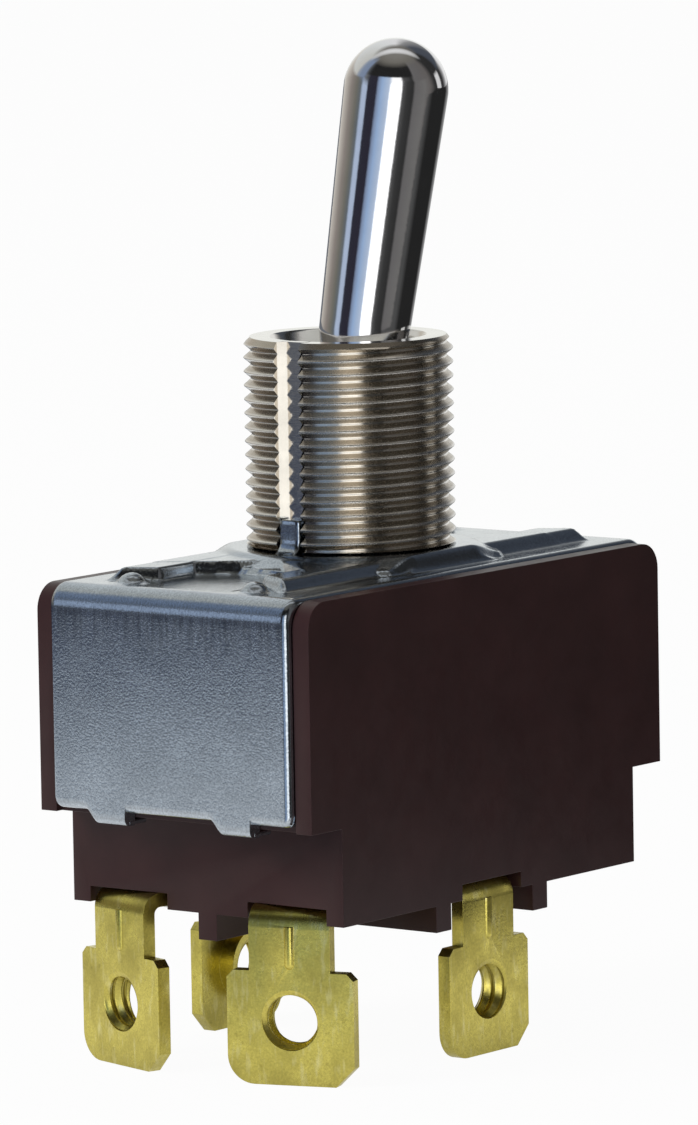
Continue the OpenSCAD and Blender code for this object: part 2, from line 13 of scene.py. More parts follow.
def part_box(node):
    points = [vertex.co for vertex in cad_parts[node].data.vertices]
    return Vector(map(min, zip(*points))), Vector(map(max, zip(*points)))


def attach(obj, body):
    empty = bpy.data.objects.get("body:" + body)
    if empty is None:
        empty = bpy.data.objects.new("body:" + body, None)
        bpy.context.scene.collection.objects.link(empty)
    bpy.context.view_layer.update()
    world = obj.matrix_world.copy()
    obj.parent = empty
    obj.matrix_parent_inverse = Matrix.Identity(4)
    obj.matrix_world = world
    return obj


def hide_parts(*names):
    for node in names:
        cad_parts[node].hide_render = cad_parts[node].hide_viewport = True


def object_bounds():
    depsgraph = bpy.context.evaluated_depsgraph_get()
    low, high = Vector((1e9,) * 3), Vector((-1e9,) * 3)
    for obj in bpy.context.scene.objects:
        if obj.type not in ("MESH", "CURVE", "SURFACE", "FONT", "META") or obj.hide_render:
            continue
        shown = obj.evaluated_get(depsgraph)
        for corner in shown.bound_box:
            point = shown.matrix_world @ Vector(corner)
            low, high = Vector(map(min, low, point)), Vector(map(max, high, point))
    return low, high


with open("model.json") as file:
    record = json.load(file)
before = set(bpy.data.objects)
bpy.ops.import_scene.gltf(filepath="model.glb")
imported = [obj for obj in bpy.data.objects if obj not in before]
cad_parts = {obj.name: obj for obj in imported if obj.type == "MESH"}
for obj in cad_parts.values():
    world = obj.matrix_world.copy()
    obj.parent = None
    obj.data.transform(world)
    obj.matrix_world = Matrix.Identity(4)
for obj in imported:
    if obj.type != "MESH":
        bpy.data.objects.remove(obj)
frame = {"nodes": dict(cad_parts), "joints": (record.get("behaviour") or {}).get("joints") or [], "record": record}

bl_info = {
    "name": "Panel Toggle Switch",
    "version": (1, 0, 0),
    "blender": (4, 5, 0),
    "location": "View3D > Sidebar > Toggle Switch",
    "description": "Dresses a bat-lever panel toggle switch in its finishes",
    "category": "Add Mesh",
}

MM = 0.001
CAD_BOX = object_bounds()
MOUNTS = {mount["name"]: mount for mount in frame["record"]["mounts"]}
JOINTS = {joint["name"]: joint for joint in frame["joints"]}
TAPPED = {
    "end_terminal_left": "end_screw_left",
    "end_terminal_right": "end_screw_right",
    "centre_terminal_left": "centre_screw_left",
    "centre_terminal_right": "centre_screw_right",
}


# ---------------------------------------------------------------- sizes and colours a user may change


def length(name, description, default):
    """A length property, in metres."""
    return bpy.props.FloatProperty(
        name=name, description=description, default=default, unit="LENGTH", precision=6, min=0.0
    )


def colour(name, description, default):
    """A linear colour property."""
    return bpy.props.FloatVectorProperty(
        name=name, description=description, default=default, subtype="COLOR", size=3, min=0.0, max=1.0
    )


def share(name, description, default):
    """A property from 0 to 1."""
    return bpy.props.FloatProperty(
        name=name, description=description, default=default, subtype="FACTOR", min=0.0, max=1.0
    )


def setting(name, description, default, subtype):
    """A number or, for a tuple, a vector, with a subtype of its own."""
    kind = bpy.props.FloatVectorProperty if isinstance(default, tuple) else bpy.props.FloatProperty
    return kind(name=name, description=description, default=default, subtype=subtype)


class SwitchSizes(bpy.types.PropertyGroup):
    """Sizes of the detail that the finish adds."""

    thread_pitch: length("Thread pitch", "Pitch of the bushing's thread", 0.794 * MM)
    thread_depth: length("Thread depth", "Depth of the bushing's thread", 0.42 * MM)
    screw_pitch: length("Screw pitch", "Pitch of the tapped holes in the terminals", 0.79 * MM)
    screw_depth: length("Screw depth", "Depth of the thread in the tapped holes", 0.27 * MM)
    mould_edge: length("Moulded edge", "Radius on the moulded body's edges", 0.19 * MM)
    blank_edge: length("Blanked edge", "Radius on the edges of blanked strip", 0.13 * MM)
    lever_blend: length("Lever blend", "Length over which the lever's neck runs into its ball", 0.5 * MM)


class FrameSizes(bpy.types.PropertyGroup):
    """Sizes of the pressed frame's soft forms."""

    sheet: length("Sheet", "Thickness of the sheet", 0.9 * MM)
    emboss: length("Emboss", "Height of the boss above the plate", 0.95 * MM)
    fold: length("Fold", "Outer radius of the folds", 1.3 * MM)
    edge: length("Edge", "Roll-over on the sheet's outer edges", 0.44 * MM)
    corner: length("Corner", "Radius on the end plates' lower corners", 0.55 * MM)
    hole: length("Hole", "Radius of the hole round the bushing", 5.63 * MM)
    boss_foot: length("Boss foot", "Radius of the boss's foot", 8.65 * MM)
    boss_top: length("Boss top", "Radius of the flat ring on the boss", 6.85 * MM)
    boss_flank: length("Boss flank", "Distance of the boss's straight flanks' feet from the middle", 7.3 * MM)
    rib_middle: length("Rib middle", "Distance of the ribs' centre lines from the middle", 4.95 * MM)
    rib_width: length("Rib width", "Width of the ribs at their feet", 3.0 * MM)
    rib_end: length("Rib end", "Distance of the ribs' outer ends from the middle", 14.0 * MM)
    web_along: length("Web along", "Distance of the webs' outer corners from the middle", 9.9 * MM)
    rib_height: length("Rib height", "Height of the ribs above the plate", 0.7125 * MM)
    dimple_along: length("Dimple along", "Distance of the dimples from the middle, along the frame", 14.6 * MM)
    dimple_across: length("Dimple across", "Distance of the dimples from the middle, across the frame", 4.35 * MM)
    dimple_width: length("Dimple width", "Diameter of the dimples at their feet", 1.7 * MM)
    dimple_height: length("Dimple height", "Height of the dimples", 0.57 * MM)
    tab_pitch: length("Tab pitch", "Spacing of the clinch tabs", 8.8 * MM)
    tab_width: length("Tab width", "Width of the clinch tabs at their roots", 2.9 * MM)
    tab_drop: length("Tab drop", "Reach of the clinch tabs below the end plates", 0.75 * MM)
    tab_shift: length("Tab shift", "Offset of each pair of tabs across the frame", 0.25 * MM)
    hook_width: length("Hook width", "Width of the clinched hooks", 1.9 * MM)
    hook_reach: length("Hook reach", "Reach of the hooks in under the body's ledge", 2.0 * MM)
    hook_height: length("Hook height", "Thickness of the hooks", 0.4 * MM)
    tongue_width: length("Tongue width", "Width of the keying tongue", 1.4 * MM)
    tongue_bend: length("Tongue bend", "Radius of the tongue's hollow bend", 0.8 * MM)


class SwitchColours(bpy.types.PropertyGroup):
    """Linear base colours of the finishes."""

    phenolic: colour("Phenolic", "Moulded body", (0.036, 0.0138, 0.0142))
    zinc: colour("Zinc", "Pressed frame", (0.50, 0.55, 0.60))
    nickel: colour("Nickel", "Threaded bushing", (0.72, 0.70, 0.66))
    chrome: colour("Chrome", "Bat lever", (0.80, 0.80, 0.81))
    brass: colour("Brass", "Terminals and cradles", (0.64, 0.55, 0.125))
    steel: colour("Steel", "Pin and springs", (0.52, 0.52, 0.54))
    moulding: colour("Black moulding", "Actuator", (0.025, 0.025, 0.028))
    nylon: colour("Nylon", "Plungers", (0.80, 0.77, 0.70))
    copper: colour("Copper", "Rockers", (0.66, 0.36, 0.22))
    silver: colour("Silver", "Contacts", (0.80, 0.80, 0.77))
    fibre: colour("Fibre", "Insulator", (0.46, 0.33, 0.22))


class StudioSettings(bpy.types.PropertyGroup):
    """Camera and light."""

    camera_place: setting("Camera", "Place of the camera", (-0.386469, -0.292952, 0.056908), "XYZ")
    camera_target: setting("Target", "Point that the camera looks at", (-0.000261, 0.0, -0.001085), "XYZ")
    camera_roll: setting("Roll", "Turn of the camera about its axis", math.radians(-0.98), "ANGLE")
    camera_lens: setting("Lens", "Focal length in millimetres", 274.88, "DISTANCE_CAMERA")
    key_power: setting("Key light", "Power of the soft light on the left", 3.2, "POWER")
    fill_power: setting("Fill light", "Power of the soft light beside the camera", 0.2, "POWER")
    surround: share("Surround", "Strength of the room's light on matt surfaces", 0.42)


# ---------------------------------------------------------------- meshes


def grid_faces(rows, columns, close_rows=False, close_columns=False):
    """Quads of a grid of rows and columns of points, wrapped round where asked."""
    index = np.arange(rows * columns).reshape(rows, columns)
    if close_rows:
        index = np.vstack([index, index[:1]])
    if close_columns:
        index = np.hstack([index, index[:, :1]])
    corners = (index[:-1, :-1], index[:-1, 1:], index[1:, 1:], index[1:, :-1])
    return np.stack(corners, -1).reshape(-1, 4)


def make_mesh(name, surfaces, weld=2e-7):
    """Object whose mesh is the given (points, faces) surfaces, with doubles merged and normals outward."""
    points = np.concatenate([p.reshape(-1, 3) for p, _ in surfaces])
    starts = np.cumsum([0] + [p.size // 3 for p, _ in surfaces[:-1]])
    faces = np.concatenate([f + start for (_, f), start in zip(surfaces, starts)])
    mesh = bpy.data.meshes.new(name)
    mesh.vertices.add(len(points))
    mesh.vertices.foreach_set("co", points.astype(np.float32).ravel())
    mesh.loops.add(faces.size)
    mesh.loops.foreach_set("vertex_index", faces.astype(np.int32).ravel())
    mesh.polygons.add(len(faces))
    mesh.polygons.foreach_set("loop_start", np.arange(0, faces.size, 4, dtype=np.int32))
    mesh.update(calc_edges=True)
    clean(mesh, weld, lambda work: bmesh.ops.dissolve_degenerate(work, edges=work.edges, dist=weld / 4))
    mesh.validate()
    return link_object(name, mesh)


def clean(mesh, weld, dissolve):
    """Merges doubles, dissolves what dissolve says and points the faces outward."""
    work = bmesh.new()
    work.from_mesh(mesh)
    bmesh.ops.remove_doubles(work, verts=work.verts, dist=weld)
    dissolve(work)
    bmesh.ops.recalc_face_normals(work, faces=work.faces)
    work.to_mesh(mesh)
    work.free()


def link_object(name, data):
    """New object of the scene that shows the data."""
    piece = bpy.data.objects.new(name, data)
    bpy.context.scene.collection.objects.link(piece)
    return piece


def smooth(mesh, angle):
    """Smooth shading, apart from edges sharper than angle in degrees."""
    mesh.shade_smooth()
    mesh.set_sharp_from_angle(angle=math.radians(angle))


def clad(name, node, smooth_angle):
    """Copy of a CAD node with its flats joined, standing for the node."""
    mesh = frame["nodes"][node].data.copy()
    mesh.name = name
    flat = math.radians(0.4)
    clean(mesh, 1e-6, lambda work: bmesh.ops.dissolve_limit(
        work, angle_limit=flat, verts=work.verts, edges=work.edges))
    piece = link_object(name, mesh)
    smooth(piece.data, smooth_angle)
    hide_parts(node)
    return piece


def round_edges(piece, width, angle):
    """Rounds the piece's edges that are sharper than angle in degrees."""
    bevel = piece.modifiers.new("edges", "BEVEL")
    bevel.width = width
    bevel.segments = 3
    bevel.limit_method = "ANGLE"
    bevel.angle_limit = math.radians(angle)
    bevel.harden_normals = True


def finish_piece(piece, body, material):
    """Gives a new piece its material and body."""
    piece.data.materials.clear()
    piece.data.materials.append(material)
    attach(piece, body)
    return piece


def finish_node(node, material, angle=35.0):
    """Gives a CAD node its material and smooth curves, its shape untouched."""
    mesh = frame["nodes"][node].data
    mesh.materials.clear()
    mesh.materials.append(material)
    smooth(mesh, angle)


def ease(t):
    """Rises smoothly from 0 to 1 as t goes from 0 to 1: 3 t^2 - 2 t^3."""
    t = np.clip(t, 0.0, 1.0)
    return t * t * (3.0 - 2.0 * t)


# ---------------------------------------------------------------- materials


class Tree:
    """A node tree, built by short calls. A value is another node's output, or plain."""

    def __init__(self, tree):
        self.tree = tree
        tree.nodes.clear()

    def add(self, kind, **settings):
        node = self.tree.nodes.new(kind)
        for key, value in settings.items():
            setattr(node, key, value)
        return node

    def feed(self, socket, value):
        """Links a socket, or sets its plain value; a plain colour has no alpha."""
        if isinstance(value, bpy.types.NodeSocket):
            self.tree.links.new(value, socket)
        elif socket.type == "RGBA":
            socket.default_value = (*value, 1.0)
        else:
            socket.default_value = value

    def join(self, kind, values, **settings):
        """Node whose first inputs take these values."""
        node = self.add(kind, **settings)
        for socket, value in zip(node.inputs, values):
            self.feed(socket, value)
        return node

    def product(self, first, second):
        return self.join("ShaderNodeMath", (first, second), operation="MULTIPLY").outputs["Value"]

    def vector(self, operation, *values):
        """Vector sum; LENGTH and DOT_PRODUCT give a number."""
        outputs = self.join("ShaderNodeVectorMath", values, operation=operation).outputs
        return outputs["Value" if operation in ("LENGTH", "DOT_PRODUCT") else "Vector"]

    def height(self, place):
        return self.join("ShaderNodeSeparateXYZ", (place,)).outputs["Z"]

    def span(self, value, low, high, from_low=0.3, from_high=0.7):
        """value carried from one range to another."""
        ends = (value, from_low, from_high, low, high)
        return self.join("ShaderNodeMapRange", ends).outputs["Result"]

    def blend(self, factor, first, second):
        """Colour between two others."""
        node = self.add("ShaderNodeMix", data_type="RGBA")
        for name, value in (("Factor", factor), ("A", first), ("B", second)):
            self.feed(node.inputs[name], value)
        return node.outputs["Result"]

    def over(self, factor, under, shader):
        """A shader laid over another by factor."""
        return self.join("ShaderNodeMixShader", (factor, under, shader)).outputs["Shader"]

    def ramp(self, value, stops, offset=0.0, extent=1.0):
        """Colour and alpha of the stops, each a place and a colour with alpha. A place over extent, plus
        offset, is where value meets it."""
        node = self.join("ShaderNodeValToRGB", (value,))
        elements = node.color_ramp.elements
        for place, tone in stops:
            elements.new(place / extent + offset).color = tone
        elements.remove(elements[0])
        elements.remove(elements[-1])
        return node.outputs["Color"], node.outputs["Alpha"]

    def turn_ramp(self, turn, stops):
        """A ramp by turn, its places in degrees from the camera's side."""
        return self.ramp(turn, stops, 0.5, 360.0)


class Finish(Tree):
    """A material's node tree round one principled shader."""

    def __init__(self, name):
        self.material = bpy.data.materials.get(name) or bpy.data.materials.new(name)
        self.material.use_nodes = True
        super().__init__(self.material.node_tree)
        self.shader = self.add("ShaderNodeBsdfPrincipled")
        self.output = self.join("ShaderNodeOutputMaterial", (self.shader.outputs["BSDF"],))
        self.place = self.add("ShaderNodeTexCoord").outputs["Object"]

    def noise(self, scale, detail=4.0, roughness=0.55, stretch=(1.0, 1.0, 1.0)):
        """Noise from 0 to 1, scale in cells per metre."""
        mapping = self.join("ShaderNodeMapping", (self.place,))
        mapping.inputs["Scale"].default_value = stretch
        texture = self.add("ShaderNodeTexNoise")
        values = {"Vector": mapping.outputs["Vector"], "Scale": scale, "Detail": detail, "Roughness": roughness}
        for name, value in values.items():
            self.feed(texture.inputs[name], value)
        return texture.outputs["Fac"]

    def bump(self, height, distance, strength=1.0, under=None):
        """Bump of that height in metres, over another if given."""
        node = self.add("ShaderNodeBump")
        for name, value in {"Strength": strength, "Distance": distance, "Height": height}.items():
            self.feed(node.inputs[name], value)
        if under is not None:
            self.feed(node.inputs["Normal"], under)
        return node.outputs["Normal"]

    def set(self, **values):
        """Links or sets the shader's sockets. Underscores stand for spaces."""
        for key, value in values.items():
            self.feed(self.shader.inputs[key.replace("_", " ")], value)


def tint(base, factor):
    """A colour made lighter or darker, or each of its channels by a factor of its own."""
    factors = factor if isinstance(factor, tuple) else (factor,) * 3
    return tuple(min(1.0, channel * part) for channel, part in zip(base, factors))


def colours():
    return bpy.context.scene.switch_colours


def sizes():
    return bpy.context.scene.switch_sizes


def frame_sizes():
    return bpy.context.scene.switch_frame


def phenolic():
    """Moulded phenolic: satin, faintly clouded, with a fine pressed grain."""
    base = tuple(colours().phenolic)
    n = Finish("phenolic")
    cloud = n.noise(260.0, detail=3.0)
    grain = n.noise(7000.0, detail=2.0)
    n.set(
        Base_Color=n.blend(n.span(cloud, 0.0, 1.0), tint(base, 0.86), tint(base, 1.14)),
        Roughness=n.span(n.noise(900.0), 0.34, 0.42),
        Normal=n.bump(grain, 0.006 * MM, 0.5),
        Specular_IOR_Level=0.30,
    )
    return n.material


def zinc():
    """Bright zinc plate: blue-grey, with the fine mottle of rolled sheet and soft cloudy stains. Painted shade: a
    streak pattern darkens a band of the end plates, strongest just below the folds and fading out further down."""
    base = tuple(colours().zinc)
    n = Finish("zinc")
    mottle = n.noise(8500.0, detail=2.0, roughness=0.6)
    cloud = n.noise(300.0, detail=4.0)
    sheet = n.blend(n.span(cloud, 0.0, 1.0), tint(base, 0.90), tint(base, 1.08))
    streaks = n.noise(3600.0, detail=2.0, stretch=(1.0, 1.0, 0.07))
    level = n.height(n.place)
    painted_shade_band = n.product(
        n.span(level, 0.0, 1.0, -4.6 * MM, -2.6 * MM), n.span(level, 1.0, 0.0, -2.4 * MM, -2.0 * MM)
    )
    # Painted shade: the streak pattern darkens a band of each end plate just below its fold.
    drawn = n.product(painted_shade_band, n.span(streaks, 0.0, 0.8, 0.40, 0.66))
    sheet = n.blend(drawn, sheet, tint(base, 0.45))
    n.set(
        Base_Color=n.blend(n.span(mottle, 0.0, 0.6), sheet, tint(base, 0.50)),
        Metallic=1.0,
        Roughness=n.span(n.noise(700.0), 0.10, 0.16),
        Normal=n.bump(mottle, 0.011 * MM, 0.7),
    )
    return n.material


def nickel():
    """Nickel plate over cut brass, with painted shade: the thread's flanks are darker and warmer, so that the crests,
    the roots and the keyway's floor stand out bright in the plate's own colour.
    """
    base = tuple(colours().nickel)
    n = Finish("nickel")
    marks = n.noise(2600.0, detail=3.0, stretch=(1.0, 1.0, 4.0))
    radius = n.vector("LENGTH", n.vector("MULTIPLY", n.place, (1.0, 1.0, 0.0)))
    crest_r = MOUNTS["bushing"]["dims"]["r_mm"] * MM
    root_r = crest_r - sizes().thread_depth
    above_root = n.span(radius, 0.0, 1.0, root_r + 0.03 * MM, root_r + 0.08 * MM)
    below_crest = n.span(radius, 1.0, 0.0, crest_r - 0.13 * MM, crest_r - 0.04 * MM)
    plate = n.blend(n.span(n.noise(420.0), 0.0, 1.0), tint(base, 0.92), tint(base, 1.10))
    roughness = n.add("ShaderNodeMix", data_type="FLOAT")
    ends = {"Factor": above_root, "A": n.span(marks, 0.09, 0.15), "B": n.span(marks, 0.20, 0.30)}
    for name, value in ends.items():
        n.feed(roughness.inputs[name], value)
    n.set(
        # Painted shade: the flanks between root and crest get the darker, warmer colour.
        Base_Color=n.blend(n.product(above_root, below_crest), plate, tint(base, (0.66, 0.61, 0.54))),
        Metallic=1.0,
        Roughness=roughness.outputs["Result"],
        Normal=n.bump(marks, 0.005 * MM, 0.6),
    )
    return n.material


def chrome():
    """Chrome plate: mirror-like, with a faint orange-peel ripple."""
    base = tuple(colours().chrome)
    n = Finish("chrome")
    ripple = n.noise(2300.0, detail=3.0, roughness=0.6)
    n.set(
        Base_Color=n.blend(n.span(n.noise(500.0), 0.0, 1.0), tint(base, 0.95), tint(base, 1.04)),
        Metallic=1.0,
        Roughness=n.span(n.noise(1500.0), 0.045, 0.085),
        Normal=n.bump(ripple, 0.0035 * MM, 0.55),
    )
    return n.material


def brass(name="brass", shade=1.0):
    """Rolled brass: fine pitted grain, cloudy tarnish, small darker specks and brighter worn patches."""
    base = tint(tuple(colours().brass), shade)
    n = Finish(name)
    grain = n.noise(7500.0, detail=3.0, roughness=0.65)
    drawn = n.noise(2600.0, detail=2.0, stretch=(1.0, 1.0, 0.25))
    cloud = n.noise(420.0, detail=5.0, roughness=0.6)
    speck = n.noise(2600.0, detail=2.0)
    tarnish = tint(base, (0.64, 0.62, 0.60))
    fresh = n.blend(n.span(grain, 0.0, 1.0), tint(base, 0.80), tint(base, 1.14))
    clouded = n.blend(n.span(cloud, 0.0, 0.65, 0.44, 0.72), fresh, tarnish)
    worn = n.blend(n.span(drawn, 0.0, 0.45, 0.55, 0.75), clouded, (0.86, 0.80, 0.40))
    n.set(
        Base_Color=n.blend(n.span(speck, 0.0, 0.5, 0.62, 0.78), worn, tint(tarnish, 0.7)),
        Metallic=1.0,
        Roughness=n.span(cloud, 0.22, 0.36),
        Normal=n.bump(grain, 0.008 * MM, 0.7, n.bump(cloud, 0.05 * MM, 0.5)),
    )
    return n.material


def plain_metal(name, base, roughness, grain_scale=3000.0, stretch=(1.0, 1.0, 1.0)):
    """Metal with a fine grain and a slight cloud."""
    n = Finish(name)
    grain = n.noise(grain_scale, detail=3.0, stretch=stretch)
    n.set(
        Base_Color=n.blend(n.span(n.noise(600.0), 0.0, 1.0), tint(base, 0.86), tint(base, 1.08)),
        Metallic=1.0,
        Roughness=n.span(grain, roughness - 0.05, roughness + 0.07),
        Normal=n.bump(grain, 0.005 * MM, 0.5),
    )
    return n.material


def plain_plastic(name, base, roughness, grain_scale=5000.0, fleck=0.9):
    """Moulding, nylon or fibre with a fine grain and a slight cloud."""
    n = Finish(name)
    grain = n.noise(grain_scale, detail=3.0)
    n.set(
        Base_Color=n.blend(n.span(n.noise(900.0, detail=5.0), 0.0, 1.0), tint(base, fleck), tint(base, 2.0 - fleck)),
        Roughness=n.span(grain, roughness - 0.06, roughness + 0.08),
        Normal=n.bump(grain, 0.008 * MM, 0.5),
    )
    return n.material


# ---------------------------------------------------------------- surfaces of the pieces


BALL_R = 4.0 * MM
MOUTH_R = 4.35 * MM
THREAD_FOOT_Z = 0.12 * MM
KEYWAY_WIDTH = 1.7 * MM
KEYWAY_FLOOR_X = -5.05 * MM


def thread_profile(phase, depth):
    """Height of the thread over its root, by phase from 0 to 1, crest at 0: straight flanks that run into
    rounded crests and narrower roots, each a hyperbola about its own middle."""
    off = np.abs((phase + 0.5) % 1.0 - 0.5)
    near = np.minimum(off, 0.5 - off)
    round_off = np.where(off < 0.25, 0.050, 0.022)
    drop = 0.5 * (np.hypot(near, round_off) - round_off) / (np.hypot(0.25, round_off) - round_off)
    return depth * np.where(off < 0.25, 1.0 - drop, drop)


def bushing_surface():
    """Closed surface round the Z axis. Its outside is a helical thread with a keyway cut down the -X side:
    each row of points runs once round the bushing and climbs one pitch, so crests follow the rows.
    Further rows carry the section over the rim, down the mouth, round the ball's socket and back."""
    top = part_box("bushing")[1].z
    crest_r = MOUNTS["bushing"]["dims"]["r_mm"] * MM
    pitch = sizes().thread_pitch
    depth = sizes().thread_depth
    half = KEYWAY_WIDTH / 2

    # columns: the long arc from one wall of the keyway round to the other, then the keyway's floor
    edge_turn = math.pi - math.asin(half / crest_r)
    arc = np.linspace(-edge_turn, edge_turn, 201)
    floor_y = np.linspace(half, -half, 9)
    columns = len(arc) + len(floor_y)
    on_floor = np.arange(columns) >= len(arc)
    floor_turn = np.arctan2(floor_y, np.full_like(floor_y, KEYWAY_FLOOR_X)) % (2 * math.pi)
    turn = np.concatenate([arc, floor_turn])
    climb = turn / (2 * math.pi)

    def ring(radius, level, notched):
        """One row of points at these radii and levels, with the keyway cut into it or not."""
        x = radius * np.cos(turn)
        y = radius * np.sin(turn)
        if notched:
            walls = [0, len(arc) - 1]
            y[walls] = -half, half
            x[walls] = -np.sqrt(np.broadcast_to(radius, x.shape)[walls] ** 2 - half**2)
            x[on_floor] = KEYWAY_FLOOR_X
            y[on_floor] = floor_y
        return np.stack([x, y, np.broadcast_to(level, x.shape)], -1)

    rows = []
    steps = np.array([0.0, 0.02, 0.05, 0.11, 0.25, 0.39, 0.45, 0.48, 0.5, 0.52, 0.55, 0.61, 0.75, 0.89, 0.95, 0.98])
    turns = int(math.ceil((top - THREAD_FOOT_Z) / pitch)) + 2
    levels = THREAD_FOOT_Z - pitch + pitch * (np.arange(turns)[:, None] + steps[None, :]).ravel()
    phases = np.tile(steps, turns)
    chamfer_height, chamfer_depth = 0.45 * MM, 0.36 * MM
    rim_r = crest_r - chamfer_depth
    for level, phase in zip(levels, phases):
        z = np.clip(level + pitch * climb, THREAD_FOOT_Z, top)
        cut = np.clip((z - (top - chamfer_height)) / chamfer_height, 0.0, 1.0) * chamfer_depth
        thread_r = np.minimum(crest_r - depth + thread_profile(phase, depth), crest_r - cut)
        radius = np.where(z >= top, rim_r, np.maximum(thread_r, crest_r - depth))
        rows.append(ring(radius, z, True))
    for radius, level in socket_section(top, rim_r):
        notched = radius > 0.05 * MM - KEYWAY_FLOOR_X and level > -1.0 * MM
        rows.append(ring(np.full(columns, radius), level, notched))
    return np.stack(rows)


def bushing_mesh():
    points = bushing_surface()
    faces = grid_faces(*points.shape[:2], close_rows=True, close_columns=True)
    return make_mesh("threaded_bushing", [(points, faces)])


def socket_section(top, rim_r):
    """Section of the bushing's inside as (radius, level) points: over the rim, down the flared mouth, round
    the ball's socket, under the flange and up to the neck."""
    low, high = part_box("bushing")
    pivot_z = JOINTS["lever_throw"]["pos_m"][2]
    socket_r = BALL_R + 0.1 * MM
    throat_r = socket_r - 0.9 * MM
    throat_z = pivot_z + 2.6 * MM
    flange_r, flange_top = high.x, -0.9 * MM
    neck_r = MOUNTS["bushing"]["dims"]["r_mm"] * MM - sizes().thread_depth
    angle = np.linspace(math.acos(throat_r / socket_r), 0.0, 14)
    ball = zip(socket_r * np.cos(angle), pivot_z + socket_r * np.sin(angle))
    return [
        (rim_r, top), (MOUTH_R + 0.12 * MM, top), (MOUTH_R, top - 0.12 * MM),
        (throat_r + 0.05 * MM, throat_z), *ball,
        (socket_r, low.z + 0.15 * MM), (socket_r + 0.15 * MM, low.z),
        (flange_r - 0.1 * MM, low.z), (flange_r, low.z + 0.1 * MM),
        (flange_r, flange_top - 0.1 * MM), (flange_r - 0.1 * MM, flange_top),
        (neck_r, flange_top), (neck_r, 0.0),
    ]


def lever_profile():
    """(distance along the lever, radius) from the tail's foot to the tip: straight tapers run into round ends."""
    pivot = Vector(JOINTS["lever_throw"]["pos_m"])
    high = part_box("lever")[1]
    lean = math.radians(abs(JOINTS["lever_throw"]["range_deg"][0]) / 2)
    tip_r = 3.0 * MM
    reach = (high.z - pivot.z - tip_r) / math.cos(lean) + tip_r
    tail_r, tail_s = 1.5 * MM, -13.2 * MM
    waist_r, waist_s = 2.575 * MM, 6.15 * MM
    neck_r = 2.1 * MM
    ball = np.linspace(-math.pi / 2 + math.asin(tail_r / BALL_R), math.pi / 2 - math.asin(neck_r / BALL_R), 40)
    dome = np.linspace(math.radians(-7.0), math.pi / 2, 28)
    tip_s = reach - tip_r
    s = np.concatenate([
        [tail_s, tail_s, tail_s + 0.2 * MM],
        BALL_R * np.sin(ball),
        np.linspace(4.2 * MM, waist_s, 6),
        np.linspace(waist_s, tip_s - 0.3 * MM, 30)[1:],
        tip_s + tip_r * np.sin(dome)[3:],
    ])
    r = np.concatenate([
        [0.0, tail_r - 0.2 * MM, tail_r],
        BALL_R * np.cos(ball),
        np.linspace(neck_r + 0.1 * MM, waist_r, 6),
        np.linspace(waist_r, tip_r * 0.995, 30)[1:],
        tip_r * np.cos(dome)[3:],
    ])
    return s, np.maximum(r, 0.0), pivot, lean


def lever_mesh():
    """Surface of revolution of the lever's profile, about its axis leaned over at rest."""
    s, r, pivot, lean = lever_profile()
    turn = np.linspace(0.0, 2 * math.pi, 96, endpoint=False)
    x = r[:, None] * np.cos(turn)
    y = r[:, None] * np.sin(turn)
    z = np.broadcast_to(s[:, None], x.shape)
    points = np.stack([
        x * math.cos(lean) + z * math.sin(lean) + pivot.x,
        y + pivot.y,
        -x * math.sin(lean) + z * math.cos(lean) + pivot.z,
    ], -1)
    return make_mesh("bat_lever", [(points, grid_faces(len(s), len(turn), close_columns=True))])


def soft_max(a, b, reach):
    """The larger of two heights, blended over reach where they cross above nothing."""
    reach = reach * np.clip((a + b) / reach, 0.0, 1.0) + 1e-9
    return np.maximum(a, b) + np.clip(reach - np.abs(a - b), 0.0, None) ** 2 / (4.0 * reach)


def pressed_height(x, y):
    """Height that pressing gives the top plate: a round boss with straight flanks, four ribs that run into it,
    steep inside and easy outside, and a dome beside the end of each. Each is an eased rise of the distance
    inside its foot's outline."""
    f = frame_sizes()
    x, y = np.abs(x), np.abs(y)
    r = np.hypot(x, y)
    inner = f.rib_middle - f.rib_width / 2
    outer = f.rib_middle + f.rib_width / 2
    easy = 0.95 * MM
    lip = 0.34 * ease((f.boss_foot - r) / (0.26 * MM)) * ease((outer + 0.5 * MM - y) / (0.5 * MM))
    dish_foot = f.boss_foot - 0.2 * MM
    dish = 0.66 * ease((dish_foot - r) / (dish_foot - f.boss_top))
    boss = f.emboss * np.minimum(lip + dish, ease((f.boss_flank - y) / easy))
    outside = f.rib_height * ease((outer - y) / easy)
    round_end = ease((f.rib_end + 0.5 * (y - f.rib_middle) - x) / (0.55 * MM))
    rib = outside * ease((y - inner) / (0.36 * MM)) * round_end
    web_x, web_y = math.cos(math.radians(37.0)), math.sin(math.radians(37.0))
    web = outside * ease((web_x * (f.web_along - x) - web_y * (inner - y)) / (0.34 * MM))
    pressed = soft_max(soft_max(boss, rib, 0.12 * MM), web, 0.12 * MM)
    away = np.hypot(x - f.dimple_along, y - f.dimple_across)
    half = f.dimple_width / 2
    ball = (half * half + f.dimple_height**2) / (2.0 * f.dimple_height)
    dome = np.sqrt(np.clip(ball * ball - away * away, 0.0, None)) - (ball - f.dimple_height)
    skirt = 0.10 * MM * ease((1.7 * half - away) / half)
    return soft_max(pressed, np.maximum(dome, skirt), 0.08 * MM)


def edge_depth(*insets):
    """Depth of the rolled-over edge, a quarter round, at these distances from the sheet's edges."""
    roll = frame_sizes().edge
    reach = sum(np.clip(1.0 - inset / roll, 0.0, 1.0) ** 2 for inset in insets)
    return roll * (1.0 - np.sqrt(1.0 - np.minimum(reach, 1.0)))


